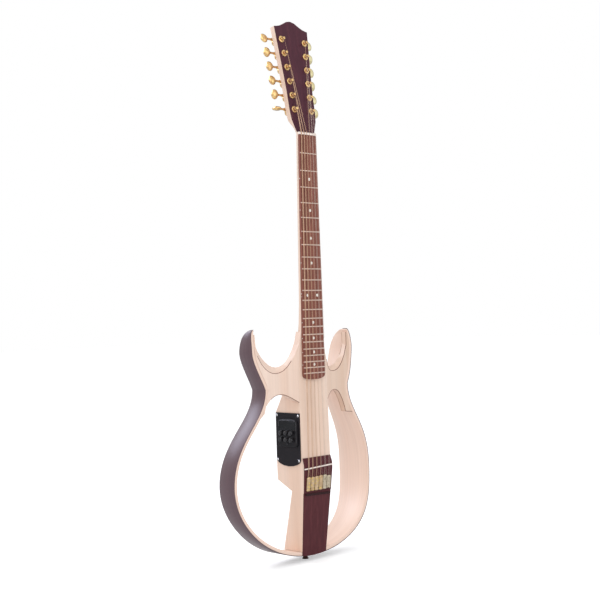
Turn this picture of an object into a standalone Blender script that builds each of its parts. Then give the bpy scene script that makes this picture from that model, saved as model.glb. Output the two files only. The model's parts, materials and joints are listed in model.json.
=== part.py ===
"""A twelve-string silent guitar: a wooden frame that keeps only the outline of an acoustic body.

A through beam carries the neck, the bridge and a side-mounted preamp. Two upper wings join it
to a pair of bent rims, which are thin on the bass side and deep on the treble side.

Sizes are in metres. A station is a distance along the strings, measured from the nut towards the
tail. A depth is a distance behind the plane of the fingerboard's top. The world's origin is the
middle of the strap button's end, with +X towards the treble side, +Y towards the back and +Z up
towards the head.
"""
import math

import bmesh
import bpy
from mathutils import Matrix, Vector

MM = 0.001

# Clearances
SEAT_GAP = 0.3 * MM
RUNNING_GAP = 0.35 * MM

# Scale, neck and fingerboard
SCALE_LENGTH = 650 * MM
FRET_COUNT = 22
NUT_WIDTH = 46.5 * MM
BOARD_END_WIDTH = 60.5 * MM
BOARD_LENGTH = 480 * MM
BOARD_THICKNESS = 4.5 * MM
BOARD_END_ROUND = 12 * MM
NECK_DEPTH_AT_NUT = 14.5 * MM
NECK_DEPTH_AT_HEEL = 17.5 * MM
NECK_ROUNDNESS = 0.97
SQUARE_START = 330 * MM
HEEL_START = 370 * MM
NUT_LENGTH = 5 * MM
NUT_HEIGHT = 1.3 * MM
LEDGE_STEP = 0.1 * MM
FRET_WIDTH = 2.4 * MM
FRET_CROWN_WIDTH = 1.0 * MM
FRET_HEIGHT = 1.1 * MM
FRET_INSET = 0.4 * MM
FRET_SINK = 0.5 * MM

# Head, tilted back behind the nut: its half width at distances along it, up to the crown
HEAD_EDGE = ((5.5 * MM, 23.4 * MM), (14 * MM, 27 * MM), (30 * MM, 32.8 * MM), (48 * MM, 34.8 * MM),
             (85 * MM, 35.6 * MM), (118 * MM, 37.5 * MM), (171 * MM, 41.5 * MM), (219 * MM, 45.5 * MM),
             (219.4 * MM, 41 * MM), (221.6 * MM, 32 * MM), (226 * MM, 22 * MM), (232 * MM, 11 * MM),
             (234 * MM, 1.5 * MM))
HEAD_BLEND_START = 10 * MM
HEAD_BLEND_END = 34 * MM
HEAD_CORNER = 1 * MM
HEAD_TILT = math.radians(9)
HEAD_FACE_DEPTH = 4.7 * MM
HEAD_VENEER = 1.6 * MM
HEAD_THICKNESS = 11 * MM
TUNERS_PER_SIDE = 6
FIRST_TUNER = 50.5 * MM
TUNER_PITCH = 28.5 * MM
POST_INSET = 11.3 * MM
POST_RADIUS = 3.0 * MM
POST_WAIST_RADIUS = 2.4 * MM
POST_HEIGHT = 9.5 * MM
BUSHING_WALL = 1.2 * MM
BUSHING_COLLAR_RADIUS = 6.8 * MM
BUSHING_COLLAR = 2.0 * MM
HOUSING_LENGTH = 17 * MM
HOUSING_WIDTH = 14 * MM
HOUSING_THICKNESS = 8.6 * MM
KEY_SHAFT_RADIUS = 2.1 * MM
KEY_OFFSET = 4.2 * MM
POST_FOOT = 2.5 * MM
KEY_FERRULE_RADIUS = 3.6 * MM
KEY_REACH = 30 * MM
KEY_BUTTON_LENGTH = 21 * MM
KEY_BUTTON_WIDTH = 15 * MM
KEY_BUTTON_THICKNESS = 9 * MM

# Body outline, seen from the front
TAIL_STATION = 826 * MM
BOUT_STATION = 676 * MM
BOUT_HALF_WIDTH = 190 * MM
WAIST_STATION = 495.5 * MM
WAIST_HALF_WIDTH = 116 * MM
HORN_STATION = 420.5 * MM
HORN_HALF_WIDTH = 140.5 * MM
BASS_TIP_STATION = 379 * MM
TREBLE_TIP_STATION = 383.5 * MM
HORN_TIP_INSET = 10 * MM
RIM_THICKNESS = 7.5 * MM
RIM_TIP_SHARE = 0.5

# How long each bend of the outline pulls straight, as a share of its span
TAIL_FLATNESS = 0.44
LOWER_BOUT_FULLNESS = 0.72
UPPER_BOUT_FULLNESS = 0.52
WAIST_LOWER_FULLNESS = 0.325
WAIST_UPPER_FULLNESS = 0.04
HORN_LOWER_FULLNESS = 0.35
HORN_UPPER_FULLNESS = 0.55

# Depths of the rims' front and back edges at the outline's main stations
RIM_FRONTS = ((BASS_TIP_STATION, 32.6 * MM), (HORN_STATION, 28 * MM), (WAIST_STATION, 19.4 * MM),
              (BOUT_STATION, 33 * MM), (TAIL_STATION, 14.3 * MM))
RIM_BACKS = ((BASS_TIP_STATION, 94 * MM), (WAIST_STATION, 68.2 * MM), (BOUT_STATION, 94.2 * MM),
             (TAIL_STATION, 68.5 * MM))
BACK_WEDGE = 0.1
HORN_TAPER_LENGTH = 105 * MM
TIP_EDGE = 0.6 * MM

# Centre beam
BEAM_WIDTH = 79.5 * MM
BEAM_TAIL_WIDTH = 65 * MM
BEAM_TAPER_START = 655 * MM
BEAM_WIDE_STATION = 470 * MM
BEAM_RISE_START = 505 * MM
HEEL_SLOPE_START = 456 * MM
CHAMBER_START = 545 * MM
CHAMBER_END = 678 * MM
CHAMBER_BACK = 74.5 * MM
STEP_END = 698 * MM
STEP_BACK = 36.5 * MM
TAIL_BACK = 70.5 * MM
HEEL_BACK = 24 * MM
BEAM_CORNER = 4 * MM

# Upper wings
WING_THICKNESS = 14 * MM
WING_SLICE = 14 * MM
WING_EDGE_STEP = 2 * MM
CUTAWAY_TOP = 380 * MM
CUTAWAY_BOTTOM = 464.5 * MM
ARCH_TOP = 505 * MM
ARCH_FOOT = 523 * MM

# Curves of a wing's edge: the share of the way from the beam to the rim, then the share of the
# way from the top to the bottom of the cutaway or the arch. The lip is the cutaway at the back.
BASS_CUTAWAY = ((0.0, 0.07), (0.04, 0.768), (0.36, 1.0), (0.62, 1.0), (0.84, 1.0), (0.985, 0.851),
                (0.98, 0.1))
BASS_LIP = ((0.0, 0.07), (0.04, 0.665), (0.25, 0.865), (0.46, 0.865), (0.68, 0.865), (0.8, 0.619),
            (0.96, 0.1))
BASS_ARCH = ((0.0, 1.0), (0.22, 0.5), (0.42, 0.0), (0.59, 0.0), (0.8, 0.0), (0.93, 0.44),
             (0.985, 1.2))
TREBLE_CUTAWAY = ((0.0, 0.35), (0.005, 1.019), (0.1, 1.028), (0.3, 1.028), (0.5, 1.028),
                  (0.8, 0.972), (0.95, 0.136))
TREBLE_LIP = ((0.0, 0.35), (0.005, 0.898), (0.1, 0.926), (0.28, 0.926), (0.52, 0.926), (0.84, 0.851),
              (0.95, 0.136))
TREBLE_ARCH = ((0.0, 0.9), (0.1, 0.28), (0.22, -0.03), (0.35, -0.03), (0.5, -0.03), (0.66, 0.17),
               (0.735, 1.2))

# Feet of the wings: distances below the arch's foot, and the same share at each
BASS_FOOT_BEND = 17 * MM
BASS_FOOT_END = 25 * MM
TREBLE_FOOT_BEND = 19 * MM
TREBLE_FOOT_NOTCH = 28.5 * MM
TREBLE_FOOT_END = 31.5 * MM
BASS_FOOT = ((0.955, BASS_FOOT_BEND), (1.0, BASS_FOOT_END))
TREBLE_FOOT = ((0.76, TREBLE_FOOT_BEND), (0.742, TREBLE_FOOT_NOTCH), (1.0, TREBLE_FOOT_END))

# Bridge, saddle and tail strip
SADDLE_STATION = 651.5 * MM
SADDLE_SLANT = math.radians(2)
SADDLE_LENGTH = 78.4 * MM
SADDLE_THICKNESS = 2.6 * MM
SADDLE_TOP = -5.2 * MM
FACING_THICKNESS = 1.6 * MM
BRIDGE_START = 632 * MM
BRIDGE_END = 700 * MM
BRIDGE_INSET = 0.2 * MM
BRIDGE_NOSE_INSET = 1.2 * MM
BRIDGE_NOSE_TOP = 0.3 * MM
BRIDGE_CREST = -3.6 * MM
BRIDGE_HEEL_TOP = 0.4 * MM
BRIDGE_CREST_HALF = 6.5 * MM
SLOT_DEPTH = 1 * MM
ANCHOR_START = 668 * MM
ANCHOR_LENGTH = 29 * MM
ANCHOR_RADIUS = 2.5 * MM
ANCHOR_PITCH = 5.65 * MM
ANCHOR_BASE = 0.9 * MM
STRING_GRIP = 4 * MM
STRIP_HEAD_DEPTH = 1.2 * MM
STRIP_TAIL_DEPTH = 14.3 * MM

# Strings: six courses of two, bass to treble, with the diameter of each string
COURSE_PITCH_AT_NUT = 7.65 * MM
COURSE_PITCH_AT_SADDLE = 11.5 * MM
PAIR_SPACING_AT_NUT = 2.0 * MM
PAIR_SPACING_AT_SADDLE = 2.8 * MM
STRING_DIAMETERS = (1.20 * MM, 0.70 * MM, 1.05 * MM, 0.60 * MM, 0.80 * MM, 0.50 * MM,
                    0.60 * MM, 0.40 * MM, 0.42 * MM, 0.42 * MM, 0.38 * MM, 0.38 * MM)

# Preamp on the bass side of the beam
PLATE_TOP = ARCH_FOOT + 21.5 * MM
PLATE_HEIGHT = 92.5 * MM
PLATE_BULGE = 12 * MM
PLATE_FRONT = 4.2 * MM
PLATE_BACK = 70 * MM
PLATE_THICKNESS = 2 * MM
PLATE_SCREW_INSET = 3.6 * MM
PLATE_SCREW_DROP = 5 * MM
PLATE_SCREW_RADIUS = 2.4 * MM
PLATE_SCREW_HEAD = 1.2 * MM
MODULE_DROP = 11.5 * MM
MODULE_HEIGHT = 54.5 * MM
MODULE_FRONT = 8 * MM
MODULE_WIDTH = 54 * MM
MODULE_CORNER = 6 * MM
MODULE_ARCH = 2.5 * MM
MODULE_RISE = 3 * MM
MODULE_BODY_INSET = 2.5 * MM
MODULE_BODY_DEPTH = 20 * MM
KNOB_RADIUS = 5.0 * MM
KNOB_HEIGHT = 5.0 * MM
KNOB_SHAFT_RADIUS = 1.5 * MM
KNOB_SHAFT_LENGTH = 4 * MM
KNOB_PITCH = 14.4 * MM
KNOB_SHIFT = 2 * MM
KNOB_DROPS = (27.5 * MM, 40.3 * MM)
BUTTON_DROP = 49 * MM
BUTTON_RADIUS = 2.0 * MM
BUTTON_RISE = 1.5 * MM
DISPLAY_HEIGHT = 15 * MM
DISPLAY_MARGIN = 5 * MM
DISPLAY_THICKNESS = 1.2 * MM
POCKET_WALL = 6 * MM
POCKET_DEPTH = 36 * MM
JACK_STATION = 640 * MM
JACK_DEPTH = 48 * MM
JACK_NUT_RADIUS = 8 * MM
JACK_BARREL_RADIUS = 5.6 * MM
JACK_BORE_RADIUS = 3.3 * MM
JACK_LENGTH = 24 * MM
JACK_RISE = 4 * MM

# Strap button at the tail
STRAP_BUTTON_DEPTH = 40 * MM
STRAP_BUTTON_LENGTH = 10.2 * MM
STRAP_BUTTON_RADIUS = 6.6 * MM
STRAP_BUTTON_NECK_RADIUS = 3.8 * MM

# Facet counts
NECK_ARC_STEPS = 6
HEAD_BLEND_STEPS = 5
HEEL_STEPS = 5
OUTLINE_STEPS = (11, 8, 6, 5)
ROUND_SIDES = 12
SMALL_SIDES = 10
STRING_SIDES = 6

FRONT_OF_BEAM = BOARD_THICKNESS + SEAT_GAP
NUT_Z = TAIL_STATION + SEAT_GAP + STRAP_BUTTON_LENGTH
MODULE_TOP = PLATE_TOP + MODULE_DROP
PLATE_BOTTOM = PLATE_TOP + PLATE_HEIGHT


def height(station):
    """World Z of a station along the strings."""
    return NUT_Z - station


def back(depth):
    """World Y of a depth behind the fingerboard's top."""
    return depth - STRAP_BUTTON_DEPTH


def point(x, depth, station):
    return Vector((x, back(depth), height(station)))


def mix(a, b, t):
    return a + (b - a) * t


def ease(t):
    return 0.5 - 0.5 * math.cos(math.pi * min(max(t, 0.0), 1.0))


def table(stations, x, smooth=False):
    """Value at x of a list of (x, value) pairs, straight or eased between them."""
    if x <= stations[0][0]:
        return stations[0][1]
    for (x0, v0), (x1, v1) in zip(stations, stations[1:]):
        if x <= x1:
            t = (x - x0) / (x1 - x0)
            return mix(v0, v1, ease(t) if smooth else t)
    return stations[-1][1]


def bezier(p0, p1, p2, p3, steps):
    """Points of a cubic curve after its first point."""
    points = []
    for i in range(1, steps + 1):
        t = i / steps
        u = 1 - t
        points.append(tuple(u ** 3 * a + 3 * u * u * t * b + 3 * u * t * t * c + t ** 3 * d
                            for a, b, c, d in zip(p0, p1, p2, p3)))
    return points


# Mesh tools

def clear_scene():
    for obj in list(bpy.data.objects):
        bpy.data.objects.remove(obj, do_unlink=True)


def material(name, colour, roughness, metallic=0.0):
    mat = bpy.data.materials.new(name)
    mat.use_nodes = True
    shader = mat.node_tree.nodes["Principled BSDF"]
    shader.inputs["Base Color"].default_value = (*colour, 1.0)
    shader.inputs["Roughness"].default_value = roughness
    shader.inputs["Metallic"].default_value = metallic
    return mat


def finish_object(name, bm, mat, matrix=None, smooth=None):
    """Turn a bmesh into a named object; matrix places its own axes in the world."""
    bmesh.ops.recalc_face_normals(bm, faces=bm.faces)
    if bm.calc_volume(signed=True) < 0:
        bmesh.ops.reverse_faces(bm, faces=bm.faces)
    mesh = bpy.data.meshes.new(name)
    bm.to_mesh(mesh)
    bm.free()
    if smooth is not None:
        mesh.shade_smooth()
        mesh.set_sharp_from_angle(angle=math.radians(smooth))
    obj = bpy.data.objects.new(name, mesh)
    bpy.context.scene.collection.objects.link(obj)
    if mat is not None:
        mesh.materials.append(mat)
    if matrix is not None:
        obj.matrix_world = matrix
    return obj


def add_loft(bm, rings):
    """Skin a list of equal rings of points and close both ends."""
    loops = [[bm.verts.new(p) for p in ring] for ring in rings]
    count = len(loops[0])
    for low, high in zip(loops, loops[1:]):
        for i in range(count):
            j = (i + 1) % count
            bm.faces.new((low[i], low[j], high[j], high[i]))
    bm.faces.new(list(reversed(loops[0])))
    bm.faces.new(loops[-1])
    return bm


def add_turned(bm, profile, sides, matrix=None, closed=False):
    """Turn a profile of (radius, along) about the local Z axis.

    An open profile ends on the axis or in flat caps; a closed one makes a ring with a bore.
    """
    place = matrix or Matrix.Identity(4)
    loops = []
    for radius, along in profile:
        loops.append([bm.verts.new(place @ Vector((radius * math.cos(2 * math.pi * i / sides),
                                                   radius * math.sin(2 * math.pi * i / sides),
                                                   along))) for i in range(sides)])
    pairs = list(zip(loops, loops[1:]))
    if closed:
        pairs.append((loops[-1], loops[0]))
    for low, high in pairs:
        for i in range(sides):
            j = (i + 1) % sides
            bm.faces.new((low[i], low[j], high[j], high[i]))
    if not closed:
        bm.faces.new(list(reversed(loops[0])))
        bm.faces.new(loops[-1])
    return bm


def add_box(bm, low, high, matrix=None):
    place = matrix or Matrix.Identity(4)
    x0, y0, z0 = low
    x1, y1, z1 = high
    bottom = [place @ Vector(p) for p in ((x0, y0, z0), (x1, y0, z0), (x1, y1, z0), (x0, y1, z0))]
    top = [place @ Vector(p) for p in ((x0, y0, z1), (x1, y0, z1), (x1, y1, z1), (x0, y1, z1))]
    return add_loft(bm, [bottom, top])


def add_tube(bm, path, radius, sides):
    """A round bar along a path of points, with a mitred ring at each bend."""
    rings = []
    for i, centre in enumerate(path):
        before = path[max(i - 1, 0)]
        after = path[min(i + 1, len(path) - 1)]
        along = (after - before).normalized()
        across = along.cross(Vector((1, 0, 0))).normalized()
        side = along.cross(across).normalized()
        rings.append([centre + radius * (math.cos(a) * across + math.sin(a) * side)
                      for a in (2 * math.pi * k / sides for k in range(sides))])
    return add_loft(bm, rings)


def rounded_rectangle(width, length, radius, steps=3):
    """Points of a rectangle with round corners, centred, counter-clockwise."""
    points = []
    for cx, cy, start in ((1, 1, 0), (-1, 1, 90), (-1, -1, 180), (1, -1, 270)):
        for i in range(steps + 1):
            a = math.radians(start + 90 * i / steps)
            points.append((cx * (width / 2 - radius) + radius * math.cos(a),
                           cy * (length / 2 - radius) + radius * math.sin(a)))
    return points


def cut(target, name, bm, operation="DIFFERENCE"):
    """Cut a hidden solid out of an object with an exact Boolean."""
    cutter = finish_object(name, bm, None)
    cutter.hide_render = True
    cutter.display_type = "WIRE"
    modifier = target.modifiers.new(name, "BOOLEAN")
    modifier.operation = operation
    modifier.solver = "EXACT"
    modifier.object = cutter
    return cutter


# Shared shapes

def fret_station(number):
    return SCALE_LENGTH * (1 - 2 ** (-number / 12))


def board_half_width(station):
    last = fret_station(FRET_COUNT)
    return 0.5 * mix(NUT_WIDTH, BOARD_END_WIDTH, station / last)


def beam_half_width(station):
    """Half width of the neck and the beam it grows into."""
    if station <= HEEL_START:
        return board_half_width(max(station, 0))
    if station <= BEAM_WIDE_STATION:
        t = (station - HEEL_START) / (BEAM_WIDE_STATION - HEEL_START)
        return mix(board_half_width(HEEL_START), BEAM_WIDTH / 2, ease(t))
    return table(((BEAM_TAPER_START, BEAM_WIDTH / 2), (TAIL_STATION, BEAM_TAIL_WIDTH / 2)), station)


HEEL_STATIONS = [mix(HEEL_START, BEAM_WIDE_STATION, i / HEEL_STEPS) for i in range(HEEL_STEPS + 1)]


def tip_station(side):
    """Station of a horn's tip: the bass side's horn is the longer one."""
    return BASS_TIP_STATION if side < 0 else TREBLE_TIP_STATION


def outline(side=1):
    """Outer outline of one half of the body, tail to horn tip, as (half width, station)."""
    tail = (0.0, TAIL_STATION)
    bout = (BOUT_HALF_WIDTH, BOUT_STATION)
    waist = (WAIST_HALF_WIDTH, WAIST_STATION)
    horn = (HORN_HALF_WIDTH, HORN_STATION)
    tip = (HORN_HALF_WIDTH - HORN_TIP_INSET, tip_station(side))
    lower = TAIL_STATION - BOUT_STATION
    middle = BOUT_STATION - WAIST_STATION
    upper = WAIST_STATION - HORN_STATION
    end = HORN_STATION - tip[1]
    spans = (
        (tail, (TAIL_FLATNESS * BOUT_HALF_WIDTH, TAIL_STATION),
         (BOUT_HALF_WIDTH, BOUT_STATION + LOWER_BOUT_FULLNESS * lower), bout),
        (bout, (BOUT_HALF_WIDTH, BOUT_STATION - UPPER_BOUT_FULLNESS * middle),
         (WAIST_HALF_WIDTH, WAIST_STATION + WAIST_LOWER_FULLNESS * middle), waist),
        (waist, (WAIST_HALF_WIDTH, WAIST_STATION - WAIST_UPPER_FULLNESS * upper),
         (HORN_HALF_WIDTH, HORN_STATION + HORN_LOWER_FULLNESS * upper), horn),
        (horn, (HORN_HALF_WIDTH, HORN_STATION - HORN_UPPER_FULLNESS * end),
         (tip[0] + 0.8 * HORN_TIP_INSET, tip[1]), tip),
    )
    points = [tail]
    for span, steps in zip(spans, OUTLINE_STEPS):
        points += bezier(*span, steps)
    return points


def offset_outline(points, distance):
    """The outline moved inwards by a distance that may change from point to point."""
    moved = []
    for i, (x, s) in enumerate(points):
        before = points[max(i - 1, 0)]
        after = points[min(i + 1, len(points) - 1)]
        if i == 0:
            before = (-points[1][0], points[1][1])
        tangent = Vector((after[0] - before[0], after[1] - before[1])).normalized()
        inward = Vector((tangent.y, -tangent.x))
        amount = distance(i) if callable(distance) else distance
        moved.append((x + inward.x * amount, s + inward.y * amount))
    return moved


def rim_front(station):
    """Depth of the rims' front edge."""
    return table(RIM_FRONTS, station, smooth=True)


def rim_back(x, station):
    """Depth of the rims' back edge: an arched back, wedged so that the bass side is thin."""
    return table(RIM_BACKS, station, smooth=True) + BACK_WEDGE * x


def horn_taper(side, station):
    """How much of a rim's depth is left near the tip of its horn."""
    t = min(max((station - tip_station(side) + TIP_EDGE) / HORN_TAPER_LENGTH, 0.0), 1.0)
    return math.sqrt(1 - (1 - t) ** 2)


# Neck and beam

def section(half_width, front, depth, corner_x, corner_y):
    """A cross-section with a flat front and two round back corners, as (x, depth)."""
    points = [(-half_width, front)]
    back_line = front + depth
    for side in (-1, 1):
        for i in range(NECK_ARC_STEPS + 1):
            a = math.radians(90 * i / NECK_ARC_STEPS)
            if side > 0:
                a = math.radians(90) - a
            points.append((side * (half_width - corner_x + corner_x * math.cos(a)),
                           back_line - corner_y + corner_y * math.sin(a)))
    points.append((half_width, front))
    return points


def head_rings():
    """Cross-sections of the head's core from the crown down to the neck, across the head."""
    place = head_matrix()
    rings = []
    edge = [along for along, _ in HEAD_EDGE if along > HEAD_BLEND_START]
    blend = [mix(HEAD_BLEND_START, HEAD_BLEND_END, i / HEAD_BLEND_STEPS)
             for i in range(HEAD_BLEND_STEPS + 1)]
    for along in sorted(set(edge + blend), reverse=True):
        half = table(HEAD_EDGE, along)
        square = ease((along - HEAD_BLEND_START) / (HEAD_BLEND_END - HEAD_BLEND_START))
        corner_x = mix(NECK_ROUNDNESS * half, HEAD_CORNER, square)
        corner_y = mix(NECK_ROUNDNESS * HEAD_THICKNESS, HEAD_CORNER, square)
        shape = section(half, CORE_FRONT, HEAD_THICKNESS, corner_x, corner_y)
        rings.append([place @ Vector((x, y, along)) for x, y in shape])
    return rings


def neck_ring(station, front, back_line):
    """A cross-section of the neck or the beam: round at the neck, square at the beam."""
    half = beam_half_width(station)
    square = ease((station - SQUARE_START) / (BEAM_WIDE_STATION - SQUARE_START))
    depth = back_line - front
    shape = section(half, front, depth, mix(NECK_ROUNDNESS * half, BEAM_CORNER, square),
                    mix(NECK_ROUNDNESS * depth, BEAM_CORNER, square))
    return [point(x, d, station) for x, d in shape]


def neck_rings():
    """Cross-sections from the crown of the head to the tail."""
    rings = head_rings()
    # A ledge for the nut, with the head's face below it
    ledge = -NUT_LENGTH + LEDGE_STEP
    face = HEAD_FACE_DEPTH + CORE_FRONT / math.cos(HEAD_TILT) + NUT_LENGTH * math.tan(HEAD_TILT)
    rings.append(neck_ring(-NUT_LENGTH, face, neck_back(0.0)))
    rings.append(neck_ring(ledge, FRONT_OF_BEAM, neck_back(0.0)))
    stations = {0.0, 0.5 * HEEL_START, SQUARE_START, HEEL_SLOPE_START, BEAM_RISE_START, CHAMBER_START,
                BRIDGE_START, SADDLE_STATION - BRIDGE_CREST_HALF, SADDLE_STATION + BRIDGE_CREST_HALF,
                BEAM_TAPER_START, CHAMBER_END, STEP_END, BRIDGE_END, BRIDGE_END + SEAT_GAP, TAIL_STATION}
    for station in sorted(stations.union(HEEL_STATIONS)):
        rings.append(neck_ring(station, beam_front(station), neck_back(station)))
    return rings


def neck_back(station):
    """Depth of the back of the neck and the beam."""
    if station > HEEL_SLOPE_START:
        return beam_back(station)
    return FRONT_OF_BEAM + mix(NECK_DEPTH_AT_NUT, NECK_DEPTH_AT_HEEL, min(station / HEEL_START, 1))


def beam_front(station):
    """Depth of the wood's front: it rises slowly to the bridge and follows it and the strip."""
    if station < BRIDGE_START:
        under_bridge = BRIDGE_NOSE_TOP + FACING_THICKNESS + SEAT_GAP
        return table(((BEAM_RISE_START, FRONT_OF_BEAM), (BRIDGE_START, under_bridge)), station)
    facing = bridge_top(station) if station <= BRIDGE_END else strip_depth(station)
    return facing + FACING_THICKNESS + SEAT_GAP


def beam_back(station):
    """Depth of the beam's back: a sloping heel, the electronics chamber, a step and the tail."""
    return table(((HEEL_SLOPE_START, HEEL_BACK), (CHAMBER_START, CHAMBER_BACK),
                  (CHAMBER_END, CHAMBER_BACK), (STEP_END, STEP_BACK), (TAIL_STATION, TAIL_BACK)),
                 station)


def strip_depth(station):
    return mix(STRIP_HEAD_DEPTH, STRIP_TAIL_DEPTH,
               (station - BRIDGE_END) / (TAIL_STATION - BRIDGE_END))


def head_matrix():
    """Head axes: X to the treble side, Y out of the head's back, Z along the head."""
    return Matrix.Translation(point(0, HEAD_FACE_DEPTH, 0)) @ Matrix.Rotation(-HEAD_TILT, 4, "X")


def head_outline(start):
    """Closed outline of the head from a station just above the nut, as (x, along)."""
    right = [(table(HEAD_EDGE, start), start)]
    right += [(half, along) for along, half in HEAD_EDGE if along > start]
    left = [(-x, along) for x, along in reversed(right)]
    return right + left


def tuner_stations():
    """Every tuner as (side, x, along the head)."""
    places = []
    for side in (-1, 1):
        for i in range(TUNERS_PER_SIDE):
            along = FIRST_TUNER + i * TUNER_PITCH
            places.append((side, side * (table(HEAD_EDGE, along) - POST_INSET), along))
    return places


CORE_FRONT = HEAD_VENEER + SEAT_GAP
CORE_BACK = CORE_FRONT + HEAD_THICKNESS
BUSHING_BORE = (POST_RADIUS + RUNNING_GAP) / math.cos(math.pi / ROUND_SIDES)
BUSHING_SLEEVE = BUSHING_BORE + BUSHING_WALL
POST_HOLE = (BUSHING_SLEEVE + SEAT_GAP) / math.cos(math.pi / ROUND_SIDES)


def post_matrix(x, along):
    """A post's own axes: Z points out of the head's face."""
    return head_matrix() @ Matrix.Translation((x, 0, along)) @ Matrix.Rotation(math.pi / 2, 4, "X")


def add_post_holes(bm, deepest):
    for _, x, along in tuner_stations():
        add_turned(bm, [(POST_HOLE, -deepest), (POST_HOLE, 3 * MM)], ROUND_SIDES,
                   post_matrix(x, along))
    return bm


def make_neck_beam(wood):
    beam = finish_object("neck_beam", add_loft(bmesh.new(), neck_rings()), wood, smooth=30)
    cut(beam, "post_hole_cutter", add_post_holes(bmesh.new(), CORE_BACK + 3 * MM))
    cut(beam, "pocket_cutter", preamp_pocket(bmesh.new()))
    cut(beam, "tail_cutter", inner_outline_prism(bmesh.new()), "INTERSECT")
    return beam


def preamp_pocket(bm):
    """The pocket behind the preamp plate and the blind hole for the output jack."""
    side = -BEAM_WIDTH / 2
    low = point(side - 2 * MM, MODULE_FRONT - 1 * MM, PLATE_BOTTOM - POCKET_WALL)
    high = point(side + POCKET_DEPTH, PLATE_BACK - POCKET_WALL, MODULE_TOP + 1.5 * MM)
    add_box(bm, low, high)
    hole = (JACK_BARREL_RADIUS + SEAT_GAP) / math.cos(math.pi / ROUND_SIDES)
    inner = BEAM_WIDTH / 2 - JACK_LENGTH - SEAT_GAP
    place = Matrix.Translation(point(0, JACK_DEPTH, JACK_STATION)) @ Matrix.Rotation(math.pi / 2, 4, "Y")
    add_turned(bm, [(hole, inner), (hole, BEAM_WIDTH / 2 + 2 * MM)], ROUND_SIDES, place)
    return bm


def inner_outline_prism(bm):
    """Everything inside the rims' inner faces, and the whole neck and head above them."""
    inner = offset_outline(outline(), RIM_THICKNESS + SEAT_GAP)
    half = [(x, s) for x, s in inner if s >= BOUT_STATION]
    wide = BOUT_HALF_WIDTH
    above_head = -1.25 * HEAD_EDGE[-1][0]
    right = half + [(wide, WAIST_STATION), (wide, above_head)]
    shape = right + [(-x, s) for x, s in reversed(right[1:])]
    near = [point(x, -CHAMBER_BACK, s) for x, s in shape]
    far = [point(x, 2 * CHAMBER_BACK, s) for x, s in shape]
    return add_loft(bm, [near, far])


def make_fingerboard(rosewood):
    straight = BOARD_LENGTH - BOARD_END_ROUND
    half = board_half_width(straight)
    shape = [(-board_half_width(0), SEAT_GAP), (-half, straight)]
    for i in range(1, 8):
        a = math.radians(180 - 180 * i / 8)
        reach = abs(math.cos(a)) ** 0.7 * math.copysign(1, math.cos(a))
        shape.append((half * reach, straight + BOARD_END_ROUND * math.sin(a) ** 0.7))
    shape += [(half, straight), (board_half_width(0), SEAT_GAP)]
    near = [point(x, 0, s) for x, s in shape]
    far = [point(x, BOARD_THICKNESS, s) for x, s in shape]
    board = finish_object("fingerboard", add_loft(bmesh.new(), [near, far]), rosewood)
    cut(board, "fret_bars", fret_bars(bmesh.new()), "UNION")
    return board


def fret_bars(bm):
    """Crowned bars pressed across the fingerboard."""
    for number in range(1, FRET_COUNT + 1):
        station = fret_station(number)
        half = board_half_width(station) - FRET_INSET
        ends = []
        for x in (-half, half):
            ends.append([point(x, FRET_SINK, station - FRET_WIDTH / 2),
                         point(x, FRET_SINK, station + FRET_WIDTH / 2),
                         point(x, -0.3 * FRET_HEIGHT, station + FRET_WIDTH / 2),
                         point(x, -FRET_HEIGHT, station + FRET_CROWN_WIDTH / 2),
                         point(x, -FRET_HEIGHT, station - FRET_CROWN_WIDTH / 2),
                         point(x, -0.3 * FRET_HEIGHT, station - FRET_WIDTH / 2)])
        add_loft(bm, ends)
    return bm


def make_nut(bone):
    bm = bmesh.new()
    half = NUT_WIDTH / 2
    profile = ((FRONT_OF_BEAM - SEAT_GAP, 0.0), (-NUT_HEIGHT, 0.0), (-NUT_HEIGHT, -0.5 * NUT_LENGTH),
               (0.4 * MM, -NUT_LENGTH), (FRONT_OF_BEAM - SEAT_GAP, -NUT_LENGTH))
    ends = [[point(x, depth, station) for depth, station in profile] for x in (-half, half)]
    add_loft(bm, ends)
    return finish_object("nut", bm, bone)


def make_head_veneer(dark_wood):
    place = head_matrix()
    shape = head_outline(NUT_LENGTH + 2 * SEAT_GAP)
    faces = [[place @ Vector((x, y, s)) for x, s in shape] for y in (0, HEAD_VENEER)]
    veneer = finish_object("head_veneer", add_loft(bmesh.new(), faces), dark_wood)
    cut(veneer, "veneer_hole_cutter", add_post_holes(bmesh.new(), CORE_FRONT + 1 * MM))
    return veneer


# Tuning machines

def housing_matrix(side, x, along):
    """A housing's own axes: X points towards the key, Z out of the head's back."""
    place = head_matrix() @ Matrix.Translation((x, CORE_BACK + SEAT_GAP, along))
    turn = Matrix.Rotation(-math.pi / 2, 4, "X")
    if side < 0:
        turn = turn @ Matrix.Rotation(math.pi, 4, "Z")
    return place @ turn


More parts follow.
